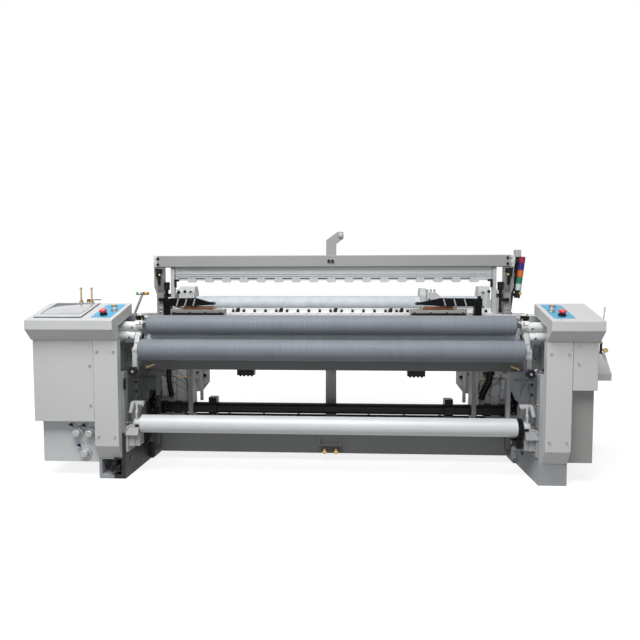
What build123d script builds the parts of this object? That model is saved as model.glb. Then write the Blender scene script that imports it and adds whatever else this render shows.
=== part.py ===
from build123d import *
import os
from math import acos, cos, pi, radians, sin, sqrt, tan

# Air-jet power loom without its warp beam, heald frames and reed.
# Millimetres, +Z up, X along the width of the cloth, the weaver stands on the -Y side.
# Y is measured from the front faces of the columns, and front_y sets the whole machine back at the end.
# Every width is measured from the inner faces of the side frames, so frame_inner alone widens the machine.

# Whole machine
front_y = -783.0
frame_inner = 1130.0
running_fit = 0.05
body_gap = 0.5

# Side frames, box castings with feet
frame_thick = 132.0
frame_outer = frame_inner + frame_thick
frame_front = 45.0
frame_rear = 1240.0
frame_top = 905.0
foot_width = 150.0
foot_outer = frame_inner + foot_width
foot_height = 118.0
foot_length = 405.0
heel_length = 144.0
heel_reach = 14.0
heel_height = 95.0
rear_foot_front = 1030.0
rear_foot_height = 72.0
recess_wall = frame_inner + 65.0
recess_floor = 600.0
recess_front = 75.0
recess_back = 262.0
recess_top = 865.0
pocket_front = 95.0
pocket_back = 450.0
pocket_low = 370.0
pocket_depth = 96.0
bulkhead = (385.0, 508.0)
panel_depth = 34.0
outer_panels = (
    (120.0, 420.0, 150.0, 340.0),
    (455.0, 640.0, 130.0, 570.0),
    (675.0, 870.0, 130.0, 430.0),
    (905.0, 1080.0, 130.0, 450.0),
    (300.0, 640.0, 600.0, 840.0),
    (675.0, 870.0, 460.0, 840.0),
    (905.0, 1080.0, 480.0, 720.0),
)
ledge_reach = 145.0
ledge_inner = frame_inner - ledge_reach
ledge_front = 520.0
ledge_back = 640.0
ledge_thick = 22.0
rib_inner = frame_inner - 77.0
rib_width = 24.0
rib_low = 100.0
saddle_radius = 70.0
saddle_z = 560.0
jack_radius = 24.0

# Column covers, folded sheet
cover_inner = frame_inner + 17.0
cover_sheet = 3.0
cover_top = 779.0
cover_bend = 195.0
cover_bottom = 120.0

# Control boxes
box_front = -60.0
box_back = 220.0
box_bottom = cover_top + 1.0
box_lip_low = 840.0
box_lip_high = 891.0
box_rear_high = 976.0
box_thick = 60.0
box_wall = 16.0
left_box_outer = cover_inner + 479.0
right_box_outer = cover_inner + 271.0
box_body_inner = frame_outer + 2.0

# Buttons: distance outward from the frame, and distance up the slope of the desk
stop_place = (95.0, 84.0)
jog_place = (63.0, 152.0)
start_place = (91.0, 220.0)
stop_head_radius = 20.0
stop_neck = 11.0
small_button = 9.0
button_stroke = 4.0

# Touch screen on the left desk
screen_width = 260.0
screen_length = 246.0
screen_outward = 332.0
screen_along = 162.0
screen_thick = 7.0
glass_width = 222.0
glass_length = 186.0

# Side cabinets and the panels under them
cabinet_front = 5.0
cabinet_gap = 3.0
cabinet_inner = foot_outer + cabinet_gap
left_cabinet_outer = cabinet_inner + 339.0
left_cabinet_bottom = 330.0
left_cabinet_depth = 470.0
right_cabinet_outer = cabinet_inner + 131.0
right_cabinet_bottom = 524.0
right_cabinet_depth = 370.0
panel_front = 62.0
panel_length = 300.0
left_panel_outer = left_cabinet_outer - 18.0
left_panel_bottom = 90.0
right_panel_outer = right_cabinet_outer + 4.0
right_panel_bottom = 122.0
tray_outer = right_cabinet_outer + 226.0
tray_front = 350.0
tray_depth = 210.0
tray_low = 526.0
tray_lip = 40.0
tray_slope = 96.0
tray_high = 680.0

# Air supply: regulators on the left lower panel, pipes behind the left desk, shut-off valve on the tray
regulator_flange = 31.0
regulator_knob = 20.0
regulator_places = ((117.0, 257.0), (46.0, 254.0), (75.0, 142.0))
pipe_radius = 4.5
pipe_top = 1068.0
pipe_places = (170.0, 107.0)
valve_outward = 140.0
manifold_low = 930.0
manifold_high = 960.0

# Rollers
guide_y = 130.0
guide_z = 858.0
guide_radius = 53.5
guide_half = frame_inner - 113.0
press_y = 95.0
press_z = 720.0
press_radius = 58.0
press_half = frame_inner - 76.0
take_up_radius = 64.0
take_up_half = frame_inner - 96.0
take_up_shaft = 20.0
roller_shaft = 12.0
cloth_y = 105.0
cloth_z = 300.0
cloth_radius = 50.0
cloth_left = 75.0 - frame_inner
cloth_right = frame_inner - 104.0
cloth_wall = 13.0
journal_radius = 18.0
journal_end = frame_inner - 6.0

# Press roller levers
pivot_y = 130.0
pivot_z = 795.0
pivot_radius = 14.0
boss_radius = 26.0
boss_inner = frame_inner - 42.0
clamp_length = 42.0
clamp_radius = 25.0
lever_thick = 26.0
lever_gap = 4.0
lever_step = 9.0
lever_outer = boss_inner - lever_gap
lever_inner = lever_outer - lever_thick
lever_knob_y = 88.0
lever_knob_z = 603.0
lever_knob_radius = 20.0
star_x = boss_inner - 12.0
star_low = 884.0
star_high = 910.0

# Cloth roller drive
gear_module = 3.0
gear_teeth = 32
pinion_teeth = 22
gear_left = cloth_right + 2.0
gear_width = 26.0
gear_hub = 22.0
stub_radius = 10.0

# Seats and latches of the cloth roller
seat_inner = frame_inner - 44.0
seat_front = 60.0
seat_back = 190.0
seat_low = 180.0
seat_plate = 12.0
seat_plate_low = 150.0
shelf_low = 245.0
shelf_high = 283.0
latch_y = 165.0
latch_z = 392.0
latch_pin = 9.0
latch_plate = 10.0
latch_pad = 18.0
latch_bar_z = 419.0

# Beams between the side frames, each as front, rear, bottom and top
front_beam = (430.0, 520.0, 52.0, 232.0)
rear_beam = (1120.0, 1210.0, 30.0, 120.0)
breast_beam = (330.0, 400.0, 578.0, 640.0)
support_bar = (276.0, 366.0, 857.0, 905.0)
strut_half = 33.0
strut_depth = 46.0
strut_top = 700.0
bracket_half = 68.0
ball_radius = 15.0
ball_pitch = 70.0

# Sley
shaft_y = 480.0
shaft_z = 320.0
shaft_radius = 33.0
shaft_journal = 25.0
bearing_inner = frame_inner - 38.0
bearing_wall = 28.0
shaft_half = bearing_inner - 4.0
sley_half = frame_inner - 158.0
sword_inset = 104.0
sword_thick = 26.0
sley_front = 428.0
sley_back = 492.0
sley_low = 850.0
sley_high = 920.0
reed_rail_high = 944.0
nozzle_count = 29
nozzle_pitch = 2 * sley_half / (nozzle_count + 0.23)
nozzle_half = 8.0
nozzle_depth = 18.0

# Upper rail with the heald guides
rail_half = frame_inner - 4.0
rail_front = 540.0
rail_depth = 62.0
rail_low = 1200.0
rail_high = 1272.0
guide_rail_half = frame_inner - 134.0
guide_rail_low = 1118.0
guide_rail_thick = 14.0
tab_count = 17
tab_pitch = 2 * guide_rail_half / (tab_count + 0.9)
tab_drop = 13.0
tab_half = 32.0
tab_foot = 21.0
post_width = 60.0
post_foot = 44.0
post_flare = (1033.0, 1073.0)
post_front = 546.0
post_depth = 44.0
slim_width = 24.0
hoist_width = 64.0
hoist_top = rail_high + 152.0

# Signal tower beside the right post
tower_outward = 30.0
tower_lean = 0.12
tower_base = 1052.0
tier_radius = 18.0
tier_height = 42.0
tier_count = 5
pole_radius = 10.0
pole_shift = 24.0

# Drive boxes and motors
housing_inner = frame_inner - 190.0
housing_front = 640.0
housing_back = 800.0
housing_low = 300.0
housing_high = 640.0
bearing_plate = 20.0
post_pitch = 73.0

# Backrest
backrest_y = 1530.0
backrest_z = 956.0
backrest_radius = 61.0
backrest_shaft = 22.0
backrest_half = frame_inner - 14.0
arm_inner = backrest_half + 8.0
arm_plate = 26.0
carrier_left = frame_inner - 462.0
carrier_flange = 48.0
carrier_right = carrier_left + 170.0
carrier_top = 1080.0
backrest_bar = (1490.0, 1570.0, 800.0, 862.0)

# Temples
temple_y = 320.0
temple_bar_half = 162.0
temple_bar_high = 38.0
temple_roller_radius = 9.0
temple_roller_half = 86.0
temple_left = 348.0 - frame_inner
temple_right = frame_inner - 500.0
temple_stud = 12.0


def block(x0, x1, y0, y1, z0, z1):
    return Pos((x0 + x1) / 2, (y0 + y1) / 2, (z0 + z1) / 2) * Box(abs(x1 - x0), y1 - y0, z1 - z0)


def rod(x0, x1, y, z, radius):
    return Pos((x0 + x1) / 2, y, z) * Rot(0, 90, 0) * Cylinder(radius, abs(x1 - x0))


def rod_y(x, y0, y1, z, radius):
    return Pos(x, (y0 + y1) / 2, z) * Rot(90, 0, 0) * Cylinder(radius, y1 - y0)


def rod_z(x, y, z0, z1, radius):
    return Pos(x, y, (z0 + z1) / 2) * Cylinder(radius, z1 - z0)


def side_plate(points, x0, x1):
    # An outline in Y and Z, given its thickness along X.
    face = Plane.YZ.offset(x0) * Polygon(*points, align=None)
    return extrude(face, x1 - x0, dir=(1, 0, 0))


def front_plate(points, y0, y1):
    # An outline in X and Z, given its thickness along Y.
    face = Plane.XZ.offset(-y0) * Polygon(*points, align=None)
    return extrude(face, y1 - y0, dir=(0, 1, 0))


def link(x0, x1, *eyes):
    # A flat lever through round eyes, each given as Y, Z and radius.
    shape = None
    for a, b in zip(eyes, eyes[1:]):
        rings = Pos(a[0], a[1]) * Circle(a[2]) + Pos(b[0], b[1]) * Circle(b[2])
        web = extrude(Plane.YZ.offset(x0) * make_hull(rings.edges()), x1 - x0, dir=(1, 0, 0))
        shape = web if shape is None else shape + web
    return shape


def hose(radius, bend, *points):
    # A held hose through the given points, with one radius at every bend.
    path = FilletPolyline(*points, radius=bend)
    return sweep(Plane(origin=path @ 0, z_dir=path % 0) * Circle(radius), path=path)


def other_side(shape):
    return mirror(shape, about=Plane.YZ)


def both_sides(shape):
    return [shape, other_side(shape)]


def beam(section, half):
    # Closed hollow section in the real machine. Its ends are shut by the frames, so it is solid here.
    return block(-half, half, *section)


def hex_screw(x, y, z, size=7.0, height=5.0):
    # A screw head on a face that looks to -Y.
    return extrude(Plane.XZ.offset(-y) * (Pos(x, z) * RegularPolygon(size, 6)), height)


def save(name, *solids):
    moved = [Pos(0, front_y, 0) * solid for solid in solids]
    shape = moved[0] if len(moved) == 1 else Compound(children=moved)
    export_step(shape, f"parts/{name}.step")


def nest(first, first_reach, second, second_reach):
    # The centre behind two others, at the two given distances from them.
    dy = second[0] - first[0]
    dz = second[1] - first[1]
    span = sqrt(dy * dy + dz * dz)
    along = (first_reach**2 - second_reach**2 + span**2) / (2 * span)
    out = sqrt(first_reach**2 - along**2)
    return (first[0] + (along * dy - out * dz) / span, first[1] + (along * dz + out * dy) / span)


take_up_y, take_up_z = nest(
    (guide_y, guide_z), guide_radius + take_up_radius + body_gap,
    (press_y, press_z), press_radius + take_up_radius + body_gap,
)
pinion_z = cloth_z - gear_module * (gear_teeth + pinion_teeth) / 2


def side_frame():
    outline = [
        (frame_front, foot_height),
        (frame_front + foot_length, foot_height),
        (frame_front + foot_length, heel_height),
        (rear_foot_front, heel_height),
        (rear_foot_front, rear_foot_height),
        (frame_rear, rear_foot_height),
        (frame_rear, 690),
        (frame_rear - 160, 770),
        (frame_rear - 340, frame_top - 25),
        (frame_rear - 460, frame_top),
        (recess_back, frame_top),
        (recess_back, recess_top),
        (recess_front, recess_top),
        (recess_front, cover_top),
        (frame_front, cover_top),
    ]
    frame = side_plate(outline, frame_inner, frame_outer)
    # The upper front corner stands further out, where the roller levers swing.
    frame -= block(frame_inner, recess_wall, frame_front, recess_back, recess_floor, frame_top)
    # Under that recess the inner wall is let in as deep as the outer ribs allow.
    pocket_wall = frame_inner + pocket_depth
    frame -= block(frame_inner, pocket_wall, pocket_front, pocket_back, pocket_low, recess_floor)
    # At its back stand a bulkhead with a lip along its top, an upright strip and a slanting arm.
    low, high = bulkhead
    frame += block(rib_inner, frame_inner + 14, pocket_back - 14, pocket_back, low, high)
    frame += block(rib_inner, pocket_wall, pocket_back - 20, pocket_back, high - 8, high)
    frame += block(pocket_wall - 25, pocket_wall, pocket_back - 16, pocket_back, pocket_low, high)
    frame += front_plate([(frame_inner, pocket_low), (frame_inner + 26, pocket_low), (pocket_wall - 25, high - 8),
                          (pocket_wall - 47, high - 8)], pocket_back - 16, pocket_back)
    # The panels between the ribs of the outer wall.
    for y0, y1, z0, z1 in outer_panels:
        frame -= block(frame_outer - panel_depth, frame_outer, y0, y1, z0, z1)
    # The bearing saddle of the warp beam, open to the rear.
    notch = Pos(frame_rear - 30, saddle_z) * Circle(saddle_radius)
    notch += Pos(frame_rear, saddle_z) * Rectangle(60, 2 * saddle_radius)
    frame -= extrude(Plane.YZ.offset(frame_inner) * notch, frame_thick, dir=(1, 0, 0))
    # The bearing housing of the rocking shaft, and the bore of the take-up roller.
    frame += rod(bearing_inner, frame_inner, shaft_y, shaft_z, shaft_journal + bearing_wall)
    frame -= rod(bearing_inner, frame_inner + 12, shaft_y, shaft_z, shaft_journal + running_fit)
    frame -= rod(recess_wall, frame_outer, take_up_y, take_up_z, take_up_shaft + running_fit)
    return frame


def front_foot(open_box):
    foot = block(frame_inner, foot_outer, frame_front, frame_front + foot_length, 0, foot_height)
    if open_box:
        x0 = frame_inner + 25
        x1 = foot_outer - 16
        foot -= block(x0, x1, frame_front, frame_front + 150, 24, foot_height - 8)
        foot += rod_z((x0 + x1) / 2, frame_front + 70, 20, foot_height - 6, jack_radius)
    heel_front = frame_front + foot_length
    heel = block(frame_inner - heel_reach, frame_outer, heel_front, heel_front + heel_length, 0, heel_height)
    return foot, heel


def frame_brackets():
    # The ledge that carries the posts, its gusset, and the upright bar between the front and breast beams.
    ledge_low = frame_top - ledge_thick
    ledge = block(ledge_inner, frame_inner, ledge_front, ledge_back, ledge_low, frame_top)
    ledge += side_plate([(ledge_front + 10, ledge_low), (ledge_back, ledge_low), (ledge_back, ledge_low - 128)],
                        frame_inner - 20, frame_inner)
    bar = block(rib_inner, rib_inner + rib_width, breast_beam[1], front_beam[0], rib_low, breast_beam[3])
    return ledge, bar


def column_cover():
    outer = side_plate([(0, cover_top), (0, cover_bend), (frame_front, cover_bottom), (frame_front, cover_top)],
                       cover_inner, foot_outer)
    s = cover_sheet
    inner = side_plate([(s, cover_top - s), (s, cover_bend + 1), (frame_front + s, cover_bottom - 1 + s),
                        (frame_front + s, cover_top - s)], cover_inner + s, foot_outer - s)
    return outer - inner


def control_box(inner, outer):
    # The sloping desk reaches inward over the rollers, and its body stands outside the frame.
    slope = (box_rear_high - box_lip_high) / (box_back - box_front)
    low_front = box_lip_high + slope * (box_wall - box_front) - box_thick
    desk = side_plate([
        (box_front, box_lip_low), (box_front, box_lip_high), (box_back, box_rear_high),
        (box_back, box_rear_high - box_thick), (box_wall, low_front), (box_wall, box_bottom), (0, box_bottom),
    ], inner, outer)
    desk = fillet(desk.edges().filter_by(Axis.X).filter_by_position(Axis.Z, box_lip_low - 1, box_lip_high + 1)
                  .filter_by_position(Axis.Y, box_front - 1, box_front + 1), 5)
    body = side_plate([
        (box_wall, box_bottom), (box_back, box_bottom), (box_back, box_rear_high - box_thick / 2),
        (box_wall, low_front + 10),
    ], box_body_inner, outer)
    return desk + body


def desk_plane(x, along):
    # The local plane of the sloping desk top, at a distance along the slope from its front edge.
    rise = box_rear_high - box_lip_high
    run = box_back - box_front
    length = sqrt(rise**2 + run**2)
    y = box_front + along * run / length
    z = box_lip_high + along * rise / length
    return Plane(origin=(x, y, z), x_dir=(1, 0, 0), z_dir=(0, -rise, run))


def cabinet(outer, bottom, depth):
    main = block(cabinet_inner, outer, cabinet_front, cabinet_front + depth, bottom, box_bottom)
    main = fillet(main.edges().filter_by(Axis.Z), 6)
    tail_low = max(bottom, foot_height + 2)
    return main + block(frame_outer, cabinet_inner, panel_front, cabinet_front + depth, tail_low, box_bottom)


def roller(half, y, z, radius, shaft, end, round_edge=8.0):
    drum = rod(-half, half, y, z, radius)
    drum = fillet(drum.edges().filter_by(GeomType.CIRCLE), round_edge)
    return drum + rod(-end, end, y, z, shaft)


def gear(x0, x1, y, z, teeth, bore, turn):
    # Straight teeth with involute flanks, a little thin for running play.
    pitch = gear_module * teeth / 2
    base = pitch * cos(radians(20))
    tip = pitch + gear_module
    root = pitch - 1.25 * gear_module
    half = pi / (2 * teeth) - 0.12 / pitch + tan(radians(20)) - radians(20)
    points = []
    for i in range(teeth):
        middle = turn + 2 * pi * i / teeth
        flank = []
        for radius in (max(base, root + 0.01), (base + tip) / 2, tip):
            roll = acos(base / max(radius, base))
            flank.append((radius, half - (tan(roll) - roll)))
        left = [(root, -flank[0][1])] + [(r, -a) for r, a in flank]
        right = [(r, a) for r, a in reversed(flank)] + [(root, flank[0][1])]
        for r, a in left + right:
            points.append((r * cos(middle + a), r * sin(middle + a)))
    wheel = extrude(Plane.YZ.offset(x0) * Pos(y, z) * Polygon(*points, align=None), x1 - x0, dir=(1, 0, 0))
    return wheel - rod(x0, x1, y, z, bore)


def roller_bracket():
    # Two bearing bosses of one aluminium casting that is bolted to the outer wall of the frame.
    clamp_inner = boss_inner - clamp_length
    casting = rod(boss_inner - 8, recess_wall, guide_y, guide_z - 8, boss_radius)
    casting += rod(boss_inner, recess_wall, pivot_y, pivot_z, boss_radius)
    casting += block(recess_wall - 14, recess_wall, guide_y - 34, guide_y + 34, pivot_z - 34, recess_top)
    casting += block(boss_inner + 6, recess_wall, guide_y - 6, guide_y + 6, pivot_z, guide_z - 10)
    # The split clamp round the shaft of the guide roller.
    casting += rod(clamp_inner, boss_inner, guide_y, guide_z, clamp_radius)
    casting += block(star_x - 14, star_x + 14, guide_y - 12, guide_y + 44, guide_z + 8, star_low - 6)
    casting -= rod(clamp_inner, recess_wall - 20, guide_y, guide_z, roller_shaft + running_fit)
    casting -= block(clamp_inner, boss_inner - 8, guide_y - clamp_radius - 1, guide_y - 8, guide_z - 2, guide_z + 2)
    # The pin on which the lever swings.
    casting += rod(lever_inner - 6, boss_inner, pivot_y, pivot_z, pivot_radius)
    return casting


def press_lever():
    # The upper link holds the roller, and the handle below it stands a step further out.
    upper = link(lever_inner, lever_outer, (pivot_y, pivot_z, 28), (press_y, press_z, 24))
    upper += link(lever_inner, lever_outer + lever_step, (press_y, press_z - 4, 20), (press_y - 4, press_z - 34, 15))
    handle = link(lever_inner + lever_step, lever_outer + lever_step, (press_y - 4, press_z - 34, 15),
                  (lever_knob_y, lever_knob_z, 12))
    lever = upper + handle
    lever -= rod(lever_inner, lever_outer + lever_step, pivot_y, pivot_z, pivot_radius + running_fit)
    lever -= rod(lever_inner, lever_outer + lever_step, press_y, press_z, roller_shaft + running_fit)
    x = (lever_inner + lever_outer) / 2 + lever_step
    knob = rod_y(x, lever_knob_y - 46, lever_knob_y - 8, lever_knob_z, lever_knob_radius)
    knob = fillet(knob.edges().filter_by(GeomType.CIRCLE), 5)
    return lever + knob


def cloth_seat(shelf_inner):
    # The seat is bolted to the inner wall of the frame, and its upper lug carries the latch.
    plate_inner = frame_inner - seat_plate
    seat = side_plate([
        (seat_front - 6, seat_plate_low), (seat_back - 20, seat_plate_low), (seat_back, seat_low + 40),
        (seat_back, latch_z + 16), (latch_y - 18, latch_z + 16), (latch_y - 26, cloth_z + 6),
        (seat_front - 6, cloth_z - 14),
    ], plate_inner, frame_inner)
    seat += side_plate([
        (seat_front + 6, seat_low), (seat_back - 30, seat_low), (seat_back, seat_low + 55), (seat_back, latch_z + 16),
        (latch_y - 18, latch_z + 16), (latch_y - 26, cloth_z + 6), (cloth_y, cloth_z), (seat_front + 14, cloth_z),
    ], seat_inner, plate_inner)
    seat += side_plate([
        (seat_front - 14, shelf_low), (seat_back - 40, shelf_low), (seat_back - 40, shelf_high), (seat_front, shelf_high),
    ], shelf_inner, frame_inner)
    seat += block(shelf_inner, frame_inner, seat_front + 14, seat_back - 50, seat_low, shelf_low)
    opening = journal_radius + running_fit
    seat -= rod(shelf_inner, frame_inner, cloth_y, cloth_z, opening)
    seat -= block(seat_inner, frame_inner, cloth_y - opening, cloth_y + opening, cloth_z, cloth_z + 60)
    seat += rod(seat_inner - 24, seat_inner, latch_y, latch_z, latch_pin)
    return seat


def roller_latch():
    # The pad rests over the journal. The bar across it and the grip lift it off.
    x0 = seat_inner - body_gap - latch_plate
    x1 = seat_inner - body_gap
    pad_low = cloth_z + journal_radius + 1
    bar_low = latch_bar_z - 9
    bar_high = latch_bar_z + 9
    latch = link(x0, x1, (latch_y, latch_z, latch_pin + 9), (cloth_y, pad_low + 44, latch_pad))
    latch += block(x0, x1, cloth_y - latch_pad, cloth_y + latch_pad, pad_low, pad_low + 44)
    latch += block(x0, x1, cloth_y - 10, cloth_y + 10, pad_low + 44, bar_low)
    latch -= rod(x0, x1, latch_y, latch_z, latch_pin + running_fit)
    bar = block(x0 - 34, x1 + 20, cloth_y - 10, cloth_y + 10, bar_low, bar_high)
    grip = front_plate([(x1 + 2, bar_high), (x1 + 20, bar_high), (x1 + 34, bar_low - 45), (x1 + 16, bar_low - 45)],
                       cloth_y - 30, cloth_y - 10)
    return [latch, bar, grip]


def star_knob():
    y = guide_y + 30
    knob = rod_z(star_x, y, star_low, star_high, 14)
    for i in range(5):
        angle = 2 * pi * i / 5
        knob += rod_z(star_x + 16 * cos(angle), y + 16 * sin(angle), star_low, star_high, 7)
    return knob + rod_z(star_x, y, star_low - 6 + body_gap, star_low, 6)


def drive_box():
    # The crank housing is bolted to the frame. Its covers, bearing plate and upright bars face the weaver.
    housing = block(housing_inner, frame_inner, housing_front, housing_back, housing_low, housing_high)
    housing = fillet(housing.edges().filter_by(Axis.Y), 22)
    for x0, x1, z0, z1 in ((8, 72, 30, 330), (78, 132, 18, 300), (138, 182, 60, 260)):
        cover = block(housing_inner + x0, housing_inner + x1, housing_front - 16, housing_front,
                      housing_low + z0, housing_low + z1)
        housing += chamfer(cover.edges().group_by(Axis.Y)[0], 3)
        for z in (housing_low + z0 + 14, housing_low + z1 - 14):
            housing += rod_y(housing_inner + (x0 + x1) / 2, housing_front - 20, housing_front - 16, z, 6)
    # The plate with the bearing caps, toward the middle of the machine.
    left = housing_inner - 138
    plate = front_plate([
        (left, 534), (left, 456), (left + 40, 404), (left + 70, 392), (housing_inner, 392), (housing_inner, 560),
        (left + 30, 560),
    ], housing_front, housing_front + bearing_plate)
    plate += front_plate([(left + 60, 420), (housing_inner, 392), (housing_inner, 560), (left + 60, 540)],
                         housing_front + bearing_plate, housing_back - 20)
    for x, z, radius in ((left + 26, 500, 17), (left + 30, 450, 11), (left + 76, 520, 10), (left + 96, 470, 26)):
        plate += rod_y(x, housing_front - 14, housing_front, z, radius)
    bars = []
    for i in range(2):
        x = housing_inner - 30 - post_pitch * i
        bars.append(block(x, x + 18, housing_front - 34, housing_front - 16, housing_low + 40, housing_high + 4))
        bars[i] += block(x, x + 18, housing_front - 16, housing_front, housing_low + 160, housing_low + 180)
    return [housing + plate] + bars


def motor(x, y0, y1, z, radius):
    can = rod_y(x, y0, y1, z, radius)
    can = fillet(can.edges().filter_by(GeomType.CIRCLE).sort_by(Axis.Y)[-1], radius * 0.2)
    can += block(x - radius, x + radius, y0, y0 + 18, z - radius, z + radius)
    can += block(x - radius * 0.4, x + radius * 0.4, y0 + 60, y0 + 140, z + radius - 12, z + radius + 34)
    return can


def sley_sword(x):
    x0 = x - sword_thick / 2
    x1 = x + sword_thick / 2
    middle = (sley_front + sley_back) / 2
    sword = link(x0, x1, (shaft_y, shaft_z, shaft_radius + 24), (shaft_y - 8, shaft_z + 260, 30),
                 (middle, sley_low - 26, 26))
    sword += block(x0 - 16, x1 + 16, sley_front + 4, sley_back - 4, sley_low - 20, sley_low)
    return sword - rod(x0, x1, shaft_y, shaft_z, shaft_radius)


def shaft_collar(x, width, extra):
    return rod(x - width / 2, x + width / 2, shaft_y, shaft_z, shaft_radius + extra)


def relay_nozzle(x):
    # A squat holder on the sley with a short tube that leans back, and the block of its hose behind it.
    front = sley_front + 1
    holder = block(x - nozzle_half, x + nozzle_half, front, front + nozzle_depth, sley_high, sley_high + 9)
    holder += block(x - 2, x + nozzle_half, front + 4, front + nozzle_depth, sley_high + 9, sley_high + 17)
    tube = Pos(x - 4, front + 9, sley_high + 14) * Rot(-25, 0, 0) * Cylinder(3, 16)
    return holder + tube


def backrest_arm():
    return side_plate([
        (rear_foot_front + 40, saddle_z + 95), (frame_rear + 60, saddle_z + 80), (backrest_y - 60, 810),
        (backrest_y + 70, 850), (backrest_y + 96, backrest_z), (backrest_y + 60, 1050), (backrest_y - 40, 1070),
        (backrest_y - 150, 1000), (frame_rear - 40, 800), (rear_foot_front + 40, 760),
    ], frame_outer, frame_outer + arm_plate)


def backrest_head(outer):
    # The bearing casting at one end of the roller, with ribs and a bolted cap.
    head = side_plate([
        (backrest_y - 66, 900), (backrest_y - 30, 870), (backrest_y + 60, 870), (backrest_y + 72, 900),
        (backrest_y + 72, 1040), (backrest_y + 40, 1094), (backrest_y - 30, 1094), (backrest_y - 66, 1050),
    ], arm_inner, outer)
    for x in (arm_inner + 22, outer - 22):
        head += block(x - 5, x + 5, backrest_y - 76, backrest_y - 60, 905, 1045)
    head += rod(arm_inner - 5, arm_inner, backrest_y, backrest_z, backrest_shaft + 16)
    head += block(outer - 1, frame_outer, backrest_y - 50, backrest_y + 50, 880, 990)
    return head - rod(arm_inner - 5, arm_inner + 60, backrest_y, backrest_z, backrest_shaft + running_fit)


def roller_carrier():
    # The carrier that holds the roller up inside its span: a round-topped flange and a lower body.
    flange_right = carrier_left + carrier_flange
    low = backrest_bar[3]
    flange = block(carrier_left, flange_right, backrest_y - 84, backrest_y + 84, low, carrier_top)
    flange = fillet(flange.edges().filter_by(Axis.X).group_by(Axis.Z)[-1], 70)
    body = front_plate([(flange_right, low), (carrier_right, low), (carrier_right, 996), (carrier_right - 36, 1038),
                        (flange_right, 1052)], backrest_y - 76, backrest_y + 76)
    carrier = flange + body
    for x in (flange_right + 12, flange_right + 40, flange_right + 68):
        carrier += rod_z(x, backrest_y - 40, 1020, 1062, 9)
    return carrier - rod(carrier_left, carrier_right, backrest_y, backrest_z, backrest_radius + 1.5)


def temple_bar(middle):
    y0 = temple_y - 22
    z0 = support_bar[3]
    bar = block(middle - temple_bar_half, middle + temple_bar_half, y0, temple_y + 26, z0, z0 + temple_bar_high)
    bar = chamfer(bar.edges().filter_by(Axis.X).group_by(Axis.Z)[-1], 6)
    trough_z = z0 + temple_bar_high + 6
    reach = temple_roller_half + temple_stud
    bar -= rod(middle - reach, middle + reach, temple_y, trough_z, temple_roller_radius + body_gap)
    for side in (-1, 1):
        x = middle + side * (reach + 6)
        bar += block(x - 5, x + 5, temple_y - 9, temple_y + 9, z0 + 30, trough_z + 9)
    bar -= rod(middle - reach - 12, middle + reach + 12, temple_y, trough_z, 3 + running_fit)
    for i in range(4):
        bar += rod_y(middle - temple_bar_half + 24 + 92 * i, y0 - 5, y0, z0 + 18, 6)
    return bar


def temple_roller(middle):
    z = support_bar[3] + temple_bar_high + 6
    reach = temple_roller_half
    spike_rings = rod(middle - reach, middle + reach, temple_y, z, temple_roller_radius)
    return spike_rings + rod(middle - reach - 23, middle + reach + 23, temple_y, z, 3)


def temple_cover(middle, sign, outward, inward):
    # A tapered casting over the temple roller. Its thin end points to the middle of the machine.
    z0 = support_bar[3] + temple_bar_high + 16
    out = middle + sign * outward
    tip = middle - sign * inward
    cover = front_plate([
        (out, z0), (out, z0 + 46), (middle + sign * 12, z0 + 48), (tip + sign * 36, z0 + 25), (tip, z0 + 22),
        (tip, z0 + 9), (middle - sign * 30, z0 + 4), (middle + sign * 10, z0),
    ], temple_y - 20, temple_y + 26)
    x = out - sign * 20
    cover += block(x - 20, x + 20, temple_y - 14, temple_y + 34, support_bar[3], z0 + 46)
    cover += rod_y(tip + sign * 12, temple_y - 26, temple_y + 26, z0 + 16, 10)
    for part in (0.14, 0.38, 0.62):
        x = middle + sign * part * outward
        cover += front_plate([(x, z0 + 2), (x + 7, z0 + 2), (x + 7 - sign * 12, z0 + 44), (x - sign * 12, z0 + 44)],
                             temple_y - 26, temple_y - 20)
    return cover


os.makedirs("parts", exist_ok=True)

# Side frames
front_piece, heel_piece = front_foot(False)
open_piece, left_heel = front_foot(True)
rear_piece = block(frame_inner, foot_outer, rear_foot_front, frame_rear, 0, rear_foot_height)
save("right_side_frame", side_frame(), front_piece, heel_piece, rear_piece, *frame_brackets())
save("left_side_frame", *[other_side(piece) for piece in (side_frame(), open_piece, left_heel, rear_piece,
                                                          *frame_brackets())])

# Beams, with the hanging bracket in the middle of the front one
y0, y1, z0, z1 = front_beam
bracket = block(-bracket_half, bracket_half, y0 - 6, y0, z0 + 2, z0 + 106)
bracket += block(-bracket_half, bracket_half, y0 - 46, y0 - 6, z0 + 56, z0 + 62)
for side in (-1, 1):
    bracket += side_plate([(y0 - 6, z0 + 62), (y0 - 46, z0 + 62), (y0 - 6, z0 + 104)],
                          side * (bracket_half - 3) - 3, side * (bracket_half - 3) + 3)
    bracket += rod_z(side * ball_pitch / 2, y0 - 26, z0 + 16, z0 + 56, 6)
    bracket += Pos(side * ball_pitch / 2, y0 - 26, z0 + 16) * Sphere(ball_radius)
save("front_cross_beam", beam(front_beam, frame_inner - heel_reach), *both_sides(
    block(frame_inner - heel_reach, frame_inner, y0, y1, heel_height, z1)), bracket)
save("rear_cross_beams", beam(rear_beam, frame_inner), beam(backrest_bar, frame_outer))
save("breast_beam", beam(breast_beam, frame_inner))
save("cloth_support_bar", fillet(
    block(-frame_inner, frame_inner, *support_bar).edges().filter_by(Axis.X).group_by(Axis.Z)[-1], 14))
strut = block(-strut_half, strut_half, front_beam[1], front_beam[1] + strut_depth, front_beam[2], strut_top)
strut += block(-strut_half, strut_half, breast_beam[1], front_beam[1], breast_beam[3] - 24, breast_beam[3])
save("centre_strut", strut)

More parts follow.
